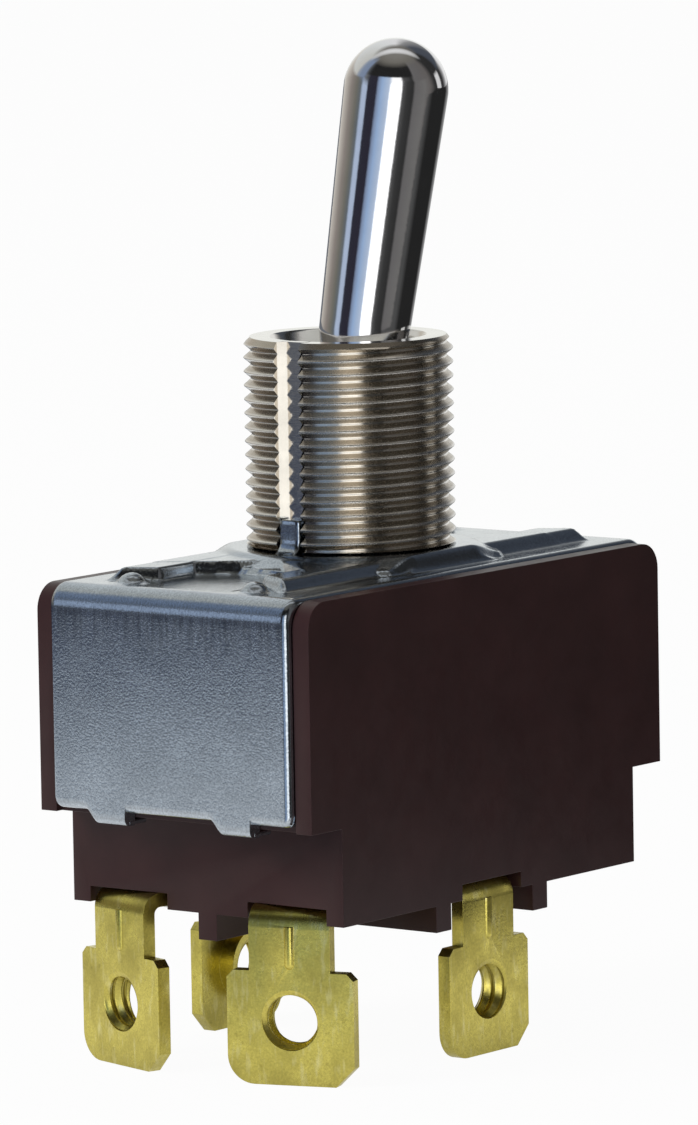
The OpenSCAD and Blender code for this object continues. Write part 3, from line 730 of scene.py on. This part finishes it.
def packed(first, last, count, roll, both=False):
    """Places from first to last, packed within roll of the last one, or of both ends."""
    turn = np.sin(np.linspace(0.0, math.pi / 2, 6))
    near_last = last - np.sign(last - first) * roll * (1.0 - turn)
    if both:
        near_first = first + last - near_last[::-1]
        return np.concatenate([near_first, np.linspace(near_first[-1], near_last[0], count)[1:-1], near_last])
    return np.concatenate([np.linspace(first, near_last[0], count)[:-1], near_last])


def frame_columns(half):
    """Places across the frame: packed at its edges and on the ribs' walls, and paired at the tabs' upright sides."""
    f = frame_sizes()
    fine = np.linspace(-half, half, 4001)
    rib = np.abs(fine)
    density = 1.0 + 1.6 * (np.abs(rib - f.rib_middle + f.rib_width / 2 - 0.18 * MM) < 0.3 * MM)
    density += 0.5 * (np.abs(rib - f.rib_middle - 1.0 * MM) < 0.7 * MM)
    density += 2.0 * (rib > half - f.edge)
    total = np.concatenate([[0.0], np.cumsum((density[1:] + density[:-1]) / 2)])
    even = np.interp(np.linspace(0.0, total[-1], 136), total, fine)
    steps = [turn * (side * f.tab_pitch / 2 + f.tab_shift - f.tab_width / 2) for turn in (-1, 1) for side in (-1, 1)]
    steps = np.array([step + gap for step in steps for gap in (-0.015 * MM, 0.015 * MM)])
    clear = np.min(np.abs(even[:, None] - steps[None, :]), axis=1) > 0.04 * MM
    return np.sort(np.concatenate([even[clear], steps]))


def plate_foot(y, level):
    """Level of an end plate's lower edge: square tabs with one sloped side, and rounded corners."""
    f = frame_sizes()
    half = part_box("steel_frame")[1].y
    drop = 0.0
    for side in (-1, 1):
        across = y - (side * f.tab_pitch / 2 + f.tab_shift)
        slope = ease((f.tab_width / 2 - across) / (1.15 * f.tab_drop))
        drop = drop + f.tab_drop * slope * (across > -f.tab_width / 2)
    beyond = np.clip(np.abs(y) - (half - f.corner), 0.0, f.corner)
    return level - drop + f.corner - np.sqrt(f.corner**2 - beyond**2)


def end_strip(side, y):
    """Grids of the outer and inner face of one end: along the top plate, round the fold and down to the tabs."""
    f = frame_sizes()
    low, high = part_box("steel_frame")
    start, end, half = high.y, high.x, high.y
    top = MOUNTS["panel_seat"]["pos_m"][2] - f.emboss
    foot = low.z + f.tab_drop
    fold_x, fold_z = end - f.fold, top - f.fold
    flat = np.linspace(start, fold_x, 54)[:-1]
    turn = np.linspace(0.0, math.pi / 2, 13)
    skirt = 1.2 * MM
    drop = np.linspace(fold_z, foot + skirt, 24)[1:]
    part = packed(0.0, 1.0, 7, f.edge / skirt)[1:]
    low_edge = plate_foot(-side * y, foot)
    lower = drop[-1] + (low_edge - drop[-1]) * part[:, None]
    rows = len(flat) + len(turn) + len(drop) + len(lower)
    along = np.concatenate([flat, fold_x + f.fold * np.sin(turn), np.full(len(drop) + len(lower), end)])
    level = np.concatenate([
        np.broadcast_to(top, (len(flat), len(y))),
        np.broadcast_to((fold_z + f.fold * np.cos(turn))[:, None], (len(turn), len(y))),
        np.broadcast_to(drop[:, None], (len(drop), len(y))),
        lower,
    ])
    angle = np.concatenate([np.zeros(len(flat)), turn, np.full(len(drop) + len(lower), math.pi / 2)])[:, None]
    place_x = np.broadcast_to(along[:, None], (rows, len(y)))
    place_y = np.broadcast_to(y, (rows, len(y)))
    relief = pressed_height(place_x, place_y) * (angle == 0.0)
    edge_y = half - np.abs(place_y)
    edge_z = np.where(angle > 1.5, level - low_edge, 1.0)
    outer = relief - edge_depth(edge_y, edge_z)
    inner = relief - f.sheet
    faces = []
    for height in (outer, inner):
        x = place_x + height * np.sin(angle)
        z = level + height * np.cos(angle)
        faces.append(np.stack([side * x, place_y, z], -1))
    return faces


def boss_patch(y):
    """Grids of the outer and inner face round the bushing: rays from the hole to a square as wide as the frame,
    whose sides across the frame carry the same places as the end strips."""
    f = frame_sizes()
    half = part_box("steel_frame")[1].y
    top = MOUNTS["panel_seat"]["pos_m"][2] - f.emboss
    x = packed(-half, half, 104, f.edge, both=True)
    rim = np.concatenate([
        np.stack([np.full(len(y), half), y], -1)[:-1],
        np.stack([-x, np.full(len(x), half)], -1)[:-1],
        np.stack([np.full(len(y), -half), -y], -1)[:-1],
        np.stack([x, np.full(len(x), -half)], -1)[:-1],
    ])
    turn = np.arctan2(rim[:, 1], rim[:, 0])
    start = f.hole * np.stack([np.cos(turn), np.sin(turn)], -1)
    part = packed(0.0, 1.0, 40, 0.11)[:, None, None]
    place = start + (rim - start) * part
    relief = pressed_height(place[..., 0], place[..., 1])
    edge_y = half - np.abs(place[..., 1])
    outer = top + relief - edge_depth(edge_y)
    inner = top + relief - f.sheet
    return [np.dstack([place, level]) for level in (outer, inner)]


def rim_faces(first, second, close=False):
    """Surface between two edges that have the same places."""
    return np.stack([first, second]), grid_faces(2, len(first), close_columns=close)


def sheet_faces(outer, inner, close, sides):
    """Surfaces of a sheet from the grids of its two faces: both grids, and a rim between them on the given sides."""
    rows, columns = outer.shape[:2]
    surfaces = [(grid, grid_faces(rows, columns, close_columns=close)) for grid in (outer, inner)]
    edges = {"first": (0, slice(None)), "last": (-1, slice(None)), "low": (slice(None), 0), "high": (slice(None), -1)}
    return surfaces + [rim_faces(outer[edges[side]], inner[edges[side]], close) for side in sides]


def bar(centres, halves, round_off, across, up):
    """Closed bar: a rounded rectangle carried along the centres, drawn in at both ends. halves gives its
    half-width along the across direction and its half-thickness along each station's up direction."""
    turn = np.linspace(0.0, 2 * math.pi, 32, endpoint=False)
    power = 0.35
    ring_a = np.sign(np.cos(turn)) * np.abs(np.cos(turn)) ** power
    ring_b = np.sign(np.sin(turn)) * np.abs(np.sin(turn)) ** power
    centres, up = np.asarray(centres), np.asarray(up)
    ends = np.concatenate([[0, 0, 0], np.arange(len(centres)), [len(centres) - 1] * 3])
    shrink = np.ones(len(ends))
    shrink[:3] = shrink[-3:][::-1] = [0.0, 0.7, 0.93]
    path = centres[ends].astype(float)
    start_way = (centres[0] - centres[1]) / np.linalg.norm(centres[0] - centres[1])
    end_way = (centres[-1] - centres[-2]) / np.linalg.norm(centres[-1] - centres[-2])
    reach = round_off * np.array([1.0, 0.85, 0.5])
    path[:3] += start_way * reach[:, None]
    path[-3:] += end_way * reach[::-1, None]
    wide = halves[0] * ring_a[None, :, None] * np.asarray(across)[None, None, :]
    tall = halves[1] * ring_b[None, :, None] * up[ends][:, None, :]
    points = path[:, None, :] + shrink[:, None, None] * (wide + tall)
    return points, grid_faces(len(ends), len(turn), close_columns=True)


def frame_mesh():
    """The folded sheet from end to end, with its hooks and the keying tongue as bars that grow out of it."""
    f = frame_sizes()
    low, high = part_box("steel_frame")
    y = frame_columns(high.y)
    outer, inner = boss_patch(y)
    surfaces = sheet_faces(outer, inner, close=True, sides=["first"])
    # the patch's two sides along the frame are free edges; the end strips join the other two
    columns = outer.shape[1]
    across = len(y) - 1
    along = columns // 2 - across
    for first in (across, columns - along):
        index = np.arange(first, first + along + 1) % columns
        surfaces.append(rim_faces(outer[-1, index], inner[-1, index]))
    for side in (-1, 1):
        surfaces += sheet_faces(*end_strip(side, y), close=False, sides=["last", "low", "high"])
        for tab in (-1, 1):
            middle = -side * (tab * f.tab_pitch / 2 + f.tab_shift - f.tab_width / 2 + f.hook_width / 2)
            level = low.z + f.hook_height / 2
            reach = np.linspace(high.x - 0.45 * MM, high.x - f.hook_reach + 0.1 * MM, 5)
            centres = np.stack([side * reach, np.full(5, middle), np.full(5, level)], -1)
            surfaces.append(bar(centres, (f.hook_width / 2, f.hook_height / 2), 0.1 * MM, (0, 1, 0), [(0, 0, 1)] * 5))
    surfaces.append(tongue_surface())
    return make_mesh("pressed_frame", surfaces)


def tongue_surface():
    """The keying tongue: a bar carried up out of the boss round a hollow bend and straight up the keyway."""
    f = frame_sizes()
    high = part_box("steel_frame")[1]
    outer_x = -(MOUNTS["bushing"]["dims"]["r_mm"] * MM - 0.15 * MM)
    inner_x = KEYWAY_FLOOR_X - 0.05 * MM
    half = (inner_x - outer_x) / 2
    turn = np.linspace(-math.pi / 2, 0.0, 12)
    bend = f.tongue_bend
    hub = (outer_x - bend, bend)
    arc = np.stack([hub[0] + (bend + half) * np.cos(turn), np.zeros(12), hub[1] + (bend + half) * np.sin(turn)], -1)
    away = np.stack([np.cos(turn), np.zeros(12), np.sin(turn)], -1)
    rise = np.linspace(bend, high.z - 0.12 * MM, 6)[1:]
    line = np.stack([np.full(5, outer_x + half), np.zeros(5), rise], -1)
    centres = np.concatenate([arc, line])
    up = np.concatenate([away, np.tile([(1.0, 0.0, 0.0)], (5, 1))])
    return bar(centres, (f.tongue_width / 2, half), 0.12 * MM, (0, 1, 0), up)


def screw_thread(mount):
    """Sleeve with a helical thread inside and a plain wall outside, along a tapped hole.
    Radius inside is the hole's radius plus the thread's depth times a triangle wave of turn and distance."""
    minor = mount["dims"]["r_mm"] * MM
    run = mount["dims"]["length_mm"] * MM
    major = minor + sizes().screw_depth
    pitch = sizes().screw_pitch
    steps = 64
    turn = np.linspace(0.0, 2 * math.pi, steps, endpoint=False)
    s = np.linspace(-run / 2 + 0.01 * MM, run / 2 - 0.01 * MM, 49)
    phase = (s[:, None] / pitch + turn[None, :] / (2 * math.pi)) % 1.0
    wave = np.clip(np.abs(2 * phase - 1.0) * 1.25 - 0.12, 0.0, 1.0)
    lead = ease((run / 2 - np.abs(s)) / (0.12 * MM))[:, None]
    inside = major - (major - minor) * wave * lead
    section = np.vstack([inside, np.full((2, steps), major + 0.04 * MM)])
    along = np.concatenate([s, [s[-1], s[0]]])
    basis = np.array(Vector(mount["axis"]).to_track_quat("Z", "X").to_matrix())
    local = np.stack([
        section * np.cos(turn), section * np.sin(turn), np.broadcast_to(along[:, None], section.shape)
    ], -1)
    points = local @ basis.T + np.array(mount["pos_m"])
    return points, grid_faces(len(along), steps, close_rows=True, close_columns=True)


def open_hole(piece, mount, radius):
    """Moves the wall of a copied hole out to a larger radius about its mount's axis."""
    mesh = piece.data
    co = np.empty(len(mesh.vertices) * 3, np.float32)
    mesh.vertices.foreach_get("co", co)
    points = co.reshape(-1, 3).astype(float)
    axis = np.array(mount["axis"])
    away = points - np.array(mount["pos_m"])
    along = away @ axis
    flat = away - along[:, None] * axis
    distance = np.linalg.norm(flat, axis=1)
    hole = mount["dims"]["r_mm"] * MM
    on_wall = (np.abs(distance - hole) < 0.03 * MM) & (np.abs(along) < 0.6 * mount["dims"]["length_mm"] * MM)
    flat[on_wall] *= (radius / distance[on_wall])[:, None]
    points[on_wall] = np.array(mount["pos_m"]) + along[on_wall, None] * axis + flat[on_wall]
    mesh.vertices.foreach_set("co", points.astype(np.float32).ravel())
    mesh.update()


# ---------------------------------------------------------------- light in reflections


def grey(level, alpha=1.0):
    return (level, level, level, alpha)


# Tone by the turn in degrees from the camera's side, right positive, at low heights and higher up.
# The upper walls' alpha tells where the dark arch stands over them.
ROOM_WALLS = [
    (-179.0, (0.92, 0.93, 0.90, 1.0)), (-150.0, (0.62, 0.58, 0.52, 1.0)), (-118.0, (0.29, 0.255, 0.23, 1.0)),
    (-98.0, (0.18, 0.175, 0.15, 1.0)), (-86.0, (0.13, 0.15, 0.165, 1.0)), (-80.0, (0.46, 0.55, 0.72, 1.0)),
    (-70.0, (0.46, 0.55, 0.72, 1.0)), (-66.0, (0.03, 0.03, 0.045, 1.0)), (-45.0, (0.028, 0.026, 0.040, 1.0)),
    (-40.0, (0.24, 0.31, 0.46, 1.0)), (-31.0, (0.34, 0.48, 0.72, 1.0)), (-14.0, (0.52, 0.62, 0.78, 1.0)),
    (-7.0, grey(2.6)), (11.0, grey(2.6)), (17.0, grey(0.10)), (27.0, grey(0.045)), (40.0, grey(0.032)),
    (45.0, (0.15, 0.145, 0.145, 1.0)), (68.0, (0.18, 0.175, 0.170, 1.0)), (82.0, (0.14, 0.130, 0.125, 1.0)),
    (96.0, grey(0.040)), (103.0, grey(0.03)), (106.0, grey(0.75)), (118.0, grey(0.75)), (122.0, grey(0.04)),
    (130.0, grey(0.04)), (140.0, grey(0.30)), (152.0, grey(0.86)),
    (179.0, (0.92, 0.93, 0.90, 1.0)),
]
ROOM_UPPER = [
    (-179.0, grey(0.80, 0.0)), (-168.0, (0.76, 0.78, 0.77, 0.0)), (-112.0, (0.60, 0.60, 0.56, 0.0)),
    (-106.0, (0.36, 0.40, 0.46, 0.0)), (-98.0, (0.24, 0.30, 0.41, 0.0)), (-84.0, (0.22, 0.28, 0.40, 0.0)),
    (-76.0, (0.16, 0.17, 0.18, 0.6)),
    (-64.0, (0.03, 0.03, 0.045, 1.0)), (-45.0, (0.028, 0.026, 0.040, 1.0)), (-40.0, (0.24, 0.31, 0.46, 1.0)),
    (-31.0, (0.34, 0.48, 0.72, 1.0)), (-14.0, (0.52, 0.62, 0.78, 1.0)), (-7.0, grey(1.3)), (11.0, grey(1.3)),
    (17.0, grey(0.10)), (38.0, grey(0.032)), (45.0, (0.15, 0.145, 0.145, 0.0)), (82.0, (0.14, 0.130, 0.125, 0.0)),
    (96.0, grey(0.03, 0.0)), (120.0, grey(0.03, 0.0)),
    (130.0, (0.07, 0.08, 0.10, 0.0)), (150.0, (0.08, 0.09, 0.11, 0.0)), (168.0, grey(0.30, 0.0)),
    (179.0, grey(0.80, 0.0)),
]
# By the sine of the height: how far the upper walls stand for the lower ones, the dark arch, and the ceiling
ROOM_RISE = [(0.0, grey(0.0)), (0.30, grey(0.0)), (0.38, grey(1.0)), (0.9, grey(1.0))]
ROOM_ARCH = [
    (0.0, grey(0.02, 0.0)), (0.48, grey(0.02, 0.0)), (0.54, grey(0.02, 1.0)), (0.91, grey(0.02, 1.0)),
    (0.95, grey(0.02, 0.0)),
]
ROOM_TOP = [
    (0.0, (0.18, 0.17, 0.15, 0.0)), (0.80, (0.18, 0.17, 0.15, 0.0)), (0.92, (0.18, 0.17, 0.15, 1.0)),
    (0.99, (0.22, 0.21, 0.19, 1.0)),
]
# A long lamp high up behind the object, by the cosine of the angle from it
OVERHEAD_RISE = math.radians(79.0)
OVERHEAD_SQUEEZE = (1.0, 0.22, 1.0)
OVERHEAD = [(0.0, grey(0.8, 0.0)), (0.984, grey(0.8, 0.0)), (0.9995, grey(0.8, 1.0))]
# The floor in reflections, a painted reflection: a pool of light by the distance in metres, dark in the middle as a
# painted shadow under the object, and strips by the turn as above, which start where the pool's alpha lets them
FLOOR_POOL = [
    (0.0, grey(0.18, 0.0)), (0.026, grey(0.26, 0.0)), (0.036, grey(0.95, 0.0)), (0.042, grey(1.05, 0.0)),
    (0.050, grey(0.80, 0.2)), (0.07, grey(0.80, 1.0)), (0.11, (0.80, 0.83, 0.85, 1.0)),
    (0.145, (0.66, 0.70, 0.74, 1.0)),
    (0.175, (0.30, 0.34, 0.42, 1.0)), (0.20, (0.07, 0.085, 0.14, 1.0)), (0.26, (0.025, 0.035, 0.075, 1.0)),
    (0.45, (0.16, 0.17, 0.19, 1.0)),
]
FLOOR_STRIPS = [
    (-179.0, grey(0.5, 0.0)), (-51.0, grey(0.1, 0.0)), (-46.0, grey(0.05, 0.8)), (-42.0, grey(0.05, 0.8)),
    (-38.0, (0.34, 0.48, 0.72, 0.9)), (-14.0, (0.52, 0.62, 0.78, 1.0)), (-9.0, grey(1.9)), (11.0, grey(1.9)),
    (17.0, grey(0.06)), (40.0, grey(0.03)), (46.0, grey(0.09)), (78.0, grey(0.08)), (90.0, grey(0.02)),
    (140.0, grey(0.02)), (155.0, grey(0.25)), (179.0, grey(0.5)),
]


# ---------------------------------------------------------------- operators


class PieceOperator:
    """What the operators share."""

    bl_options = {"REGISTER", "UNDO"}


class SWITCH_OT_studio(PieceOperator, bpy.types.Operator):
    """Camera, floor, soft lights and surround"""

    bl_idname = "switch.studio"
    bl_label = "Studio"

    def execute(self, context):
        settings = context.scene.switch_studio
        self.camera(context.scene, settings)
        self.floor(CAD_BOX[0].z, settings)
        self.surround(context.scene, settings)
        self.lamp("key", (-0.55, 0.30, 0.42), 0.42, settings.key_power, (1.0, 0.99, 0.97))
        self.lamp("fill", (-0.62, -0.52, 0.25), 0.40, settings.fill_power, (0.96, 0.98, 1.0))
        context.scene.view_settings.view_transform = "Standard"
        return {"FINISHED"}

    def camera(self, scene, settings):
        data = bpy.data.cameras.new("camera")
        data.lens = settings.camera_lens
        data.sensor_width = 36.0
        data.clip_start, data.clip_end = 0.01, 50.0
        camera = link_object("camera", data)
        place = Vector(settings.camera_place)
        aim = (Vector(settings.camera_target) - place).to_track_quat("-Z", "Y")
        roll = Matrix.Rotation(settings.camera_roll, 4, "Z")
        camera.matrix_world = Matrix.Translation(place) @ aim.to_matrix().to_4x4() @ roll
        scene.camera = camera

    def floor(self, level, settings):
        """A wide pale disc, a grid in radius and turn."""
        radius = np.array([0.0, 0.05, 0.2, 1.0, 6.0])[:, None]
        turn = np.linspace(0.0, 2 * math.pi, 64, endpoint=False)[None, :]
        height = np.broadcast_to(level, (5, 64))
        points = np.stack([radius * np.cos(turn), radius * np.sin(turn), height], -1)
        floor = make_mesh("floor", [(points, grid_faces(5, 64, close_columns=True))])
        n = Finish("floor")
        n.set(Base_Color=(0.82, 0.82, 0.82), Roughness=0.9)
        pool, pool_alpha = n.ramp(n.vector("LENGTH", n.place), FLOOR_POOL)
        strips, strips_alpha = n.turn_ramp(self.around(n, n.place, settings), FLOOR_STRIPS)
        tone = n.blend(n.product(strips_alpha, pool_alpha), pool, strips)
        ray = n.add("ShaderNodeLightPath").outputs
        white = n.add("ShaderNodeEmission").outputs["Emission"]
        # To glossy rays the floor glows in the painted tone: a painted pool of light with a painted shadow under the
        # object.
        reflected = n.join("ShaderNodeEmission", (tone,)).outputs["Emission"]
        shown = n.over(n.product(ray["Is Camera Ray"], 0.96), n.shader.outputs["BSDF"], white)
        n.feed(n.output.inputs["Surface"], n.over(ray["Is Glossy Ray"], shown, reflected))
        floor.data.materials.append(n.material)

    def lamp(self, name, place, size, power, tone):
        data = bpy.data.lights.new(name, "AREA")
        data.shape = "DISK"
        data.size = size
        data.energy = power
        data.color = tone
        lamp = link_object(name, data)
        lamp.location = place
        lamp.rotation_mode = "QUATERNION"
        lamp.rotation_quaternion = (-Vector(place)).to_track_quat("-Z", "Y")
        lamp.visible_glossy = False
        lamp.visible_camera = False

    def surround(self, scene, settings):
        """The room round the object: white behind it, softboxes and dark gaps beside the camera."""
        world = scene.world or bpy.data.worlds.new("surround")
        scene.world = world
        world.use_nodes = True
        n = Tree(world.node_tree)
        direction = n.add("ShaderNodeTexCoord").outputs["Generated"]
        turn = self.around(n, direction, settings)
        height = n.height(direction)
        walls, _ = n.turn_ramp(turn, ROOM_WALLS)
        upper, framed = n.turn_ramp(turn, ROOM_UPPER)
        rise, _ = n.ramp(height, ROOM_RISE)
        arch, arch_alpha = n.ramp(height, ROOM_ARCH)
        top, top_alpha = n.ramp(height, ROOM_TOP)
        squeezed = n.vector("MULTIPLY", self.facing(n, direction, settings), OVERHEAD_SQUEEZE)
        overhead = (-math.cos(OVERHEAD_RISE), 0.0, math.sin(OVERHEAD_RISE))
        lamp, lamp_alpha = n.ramp(n.vector("DOT_PRODUCT", n.vector("NORMALIZE", squeezed), overhead), OVERHEAD)
        tone = n.blend(rise, walls, upper)
        tone = n.blend(n.product(arch_alpha, framed), tone, arch)
        tone = n.blend(top_alpha, tone, top)
        tone = n.blend(lamp_alpha, tone, lamp)
        white = (1.0, 1.0, 1.0)
        backgrounds = ((tone, 1.0), (white, settings.surround), (white, 1.0))
        room, soft, seen = (n.join("ShaderNodeBackground", pair).outputs["Background"] for pair in backgrounds)
        ray = n.add("ShaderNodeLightPath").outputs
        shown = n.over(ray["Is Camera Ray"], n.over(ray["Is Glossy Ray"], soft, room), seen)
        n.join("ShaderNodeOutputWorld", (shown,))

    def facing(self, n, direction, settings):
        """A direction turned so that the X axis points towards the camera's side."""
        place = settings.camera_place
        mapping = n.join("ShaderNodeMapping", (direction,))
        mapping.inputs["Rotation"].default_value = (0.0, 0.0, -math.atan2(place[1], place[0]))
        return mapping.outputs["Vector"]

    def around(self, n, direction, settings):
        """Turn of a direction about the Z axis from the camera's side, from 0 to 1 with the camera at 0.5."""
        facing = self.facing(n, direction, settings)
        return n.join("ShaderNodeTexGradient", (facing,), gradient_type="RADIAL").outputs["Fac"]


class SWITCH_OT_bushing(PieceOperator, bpy.types.Operator):
    """Nickel-plated bushing with its thread and keyway"""

    bl_idname = "switch.bushing"
    bl_label = "Threaded bushing"

    def execute(self, context):
        piece = bushing_mesh()
        smooth(piece.data, 35.0)
        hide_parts("bushing")
        finish_piece(piece, "base", nickel())
        return {"FINISHED"}


class SWITCH_OT_lever(PieceOperator, bpy.types.Operator):
    """Chrome bat lever and its cross pin"""

    bl_idname = "switch.lever"
    bl_label = "Bat lever"

    def execute(self, context):
        piece = lever_mesh()
        smooth(piece.data, 40.0)
        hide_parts("lever")
        finish_piece(piece, "lever", chrome())
        finish_node("lever_pin", plain_metal("pin_steel", tuple(colours().steel), 0.28))
        return {"FINISHED"}


class SWITCH_OT_body(PieceOperator, bpy.types.Operator):
    """Moulded body with rounded edges, and the fibre insulator"""

    bl_idname = "switch.body"
    bl_label = "Moulded body"

    def execute(self, context):
        piece = clad("moulded_body", "housing", 40.0)
        round_edges(piece, sizes().mould_edge, 25.0)
        finish_piece(piece, "base", phenolic())
        finish_node("insulator", plain_plastic("fibre", tuple(colours().fibre), 0.7, 3000.0, 0.8))
        return {"FINISHED"}


class SWITCH_OT_frame(PieceOperator, bpy.types.Operator):
    """Zinc-plated pressed steel frame"""

    bl_idname = "switch.frame"
    bl_label = "Steel frame"

    def execute(self, context):
        piece = frame_mesh()
        smooth(piece.data, 40.0)
        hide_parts("steel_frame")
        finish_piece(piece, "base", zinc())
        return {"FINISHED"}


class SWITCH_OT_terminals(PieceOperator, bpy.types.Operator):
    """Brass terminals with rounded edges and tapped holes"""

    bl_idname = "switch.terminals"
    bl_label = "Terminals"

    def execute(self, context):
        material = brass()
        major = MOUNTS["end_screw_left"]["dims"]["r_mm"] * MM + sizes().screw_depth
        for node, screw in TAPPED.items():
            mount = MOUNTS[screw]
            piece = clad(node + "_brass", node, 35.0)
            open_hole(piece, mount, major)
            round_edges(piece, sizes().blank_edge, 40.0)
            finish_piece(piece, "base", material)
            sleeve = make_mesh(node + "_thread", [screw_thread(mount)])
            smooth(sleeve.data, 50.0)
            finish_piece(sleeve, "base", material)
        return {"FINISHED"}


class SWITCH_OT_mechanism(PieceOperator, bpy.types.Operator):
    """Finishes of the pieces inside the body"""

    bl_idname = "switch.mechanism"
    bl_label = "Mechanism"

    def execute(self, context):
        tones = colours()
        finish_node("actuator", plain_plastic("black_moulding", tuple(tones.moulding), 0.42))
        nylon = plain_plastic("nylon", tuple(tones.nylon), 0.34, 4000.0, 0.96)
        spring = plain_metal("spring_steel", tuple(tones.steel), 0.25)
        copper = plain_metal("copper", tuple(tones.copper), 0.30, 2500.0, (0.15, 1.0, 1.0))
        silver = plain_metal("silver", tuple(tones.silver), 0.24)
        cradle = brass("cradle_brass", 1.05)
        for side in ("left", "right"):
            finish_node("plunger_" + side, nylon)
            finish_node("spring_" + side, spring, 60.0)
            finish_node("rocker_" + side, copper)
            finish_node("moving_contact_" + side, silver)
            finish_node("fixed_contact_" + side, silver)
            finish_node("cradle_" + side, cradle)
        finish_node("cradle_rivets", copper)
        return {"FINISHED"}


class SWITCH_PT_panel(bpy.types.Panel):
    """Lists the switch's operators"""

    bl_idname = "SWITCH_PT_panel"
    bl_label = "Toggle Switch"
    bl_space_type = "VIEW_3D"
    bl_region_type = "UI"
    bl_category = "Toggle Switch"

    def draw(self, context):
        for operator in OPERATORS:
            self.layout.operator(operator.bl_idname)


OPERATORS = (
    SWITCH_OT_studio, SWITCH_OT_bushing, SWITCH_OT_lever, SWITCH_OT_body,
    SWITCH_OT_frame, SWITCH_OT_terminals, SWITCH_OT_mechanism,
)
GROUPS = {
    "switch_sizes": SwitchSizes, "switch_frame": FrameSizes,
    "switch_colours": SwitchColours, "switch_studio": StudioSettings,
}


def register():
    for kind in (*GROUPS.values(), *OPERATORS, SWITCH_PT_panel):
        bpy.utils.register_class(kind)
    for name, group in GROUPS.items():
        setattr(bpy.types.Scene, name, bpy.props.PointerProperty(type=group))


def unregister():
    for name in GROUPS:
        delattr(bpy.types.Scene, name)
    for kind in reversed((*GROUPS.values(), *OPERATORS, SWITCH_PT_panel)):
        bpy.utils.unregister_class(kind)


def main():
    register()
    bpy.ops.switch.studio()
    bpy.ops.switch.bushing()
    bpy.ops.switch.lever()
    bpy.ops.switch.body()
    bpy.ops.switch.frame()
    bpy.ops.switch.terminals()
    bpy.ops.switch.mechanism()


if __name__ == "__main__":
    main()
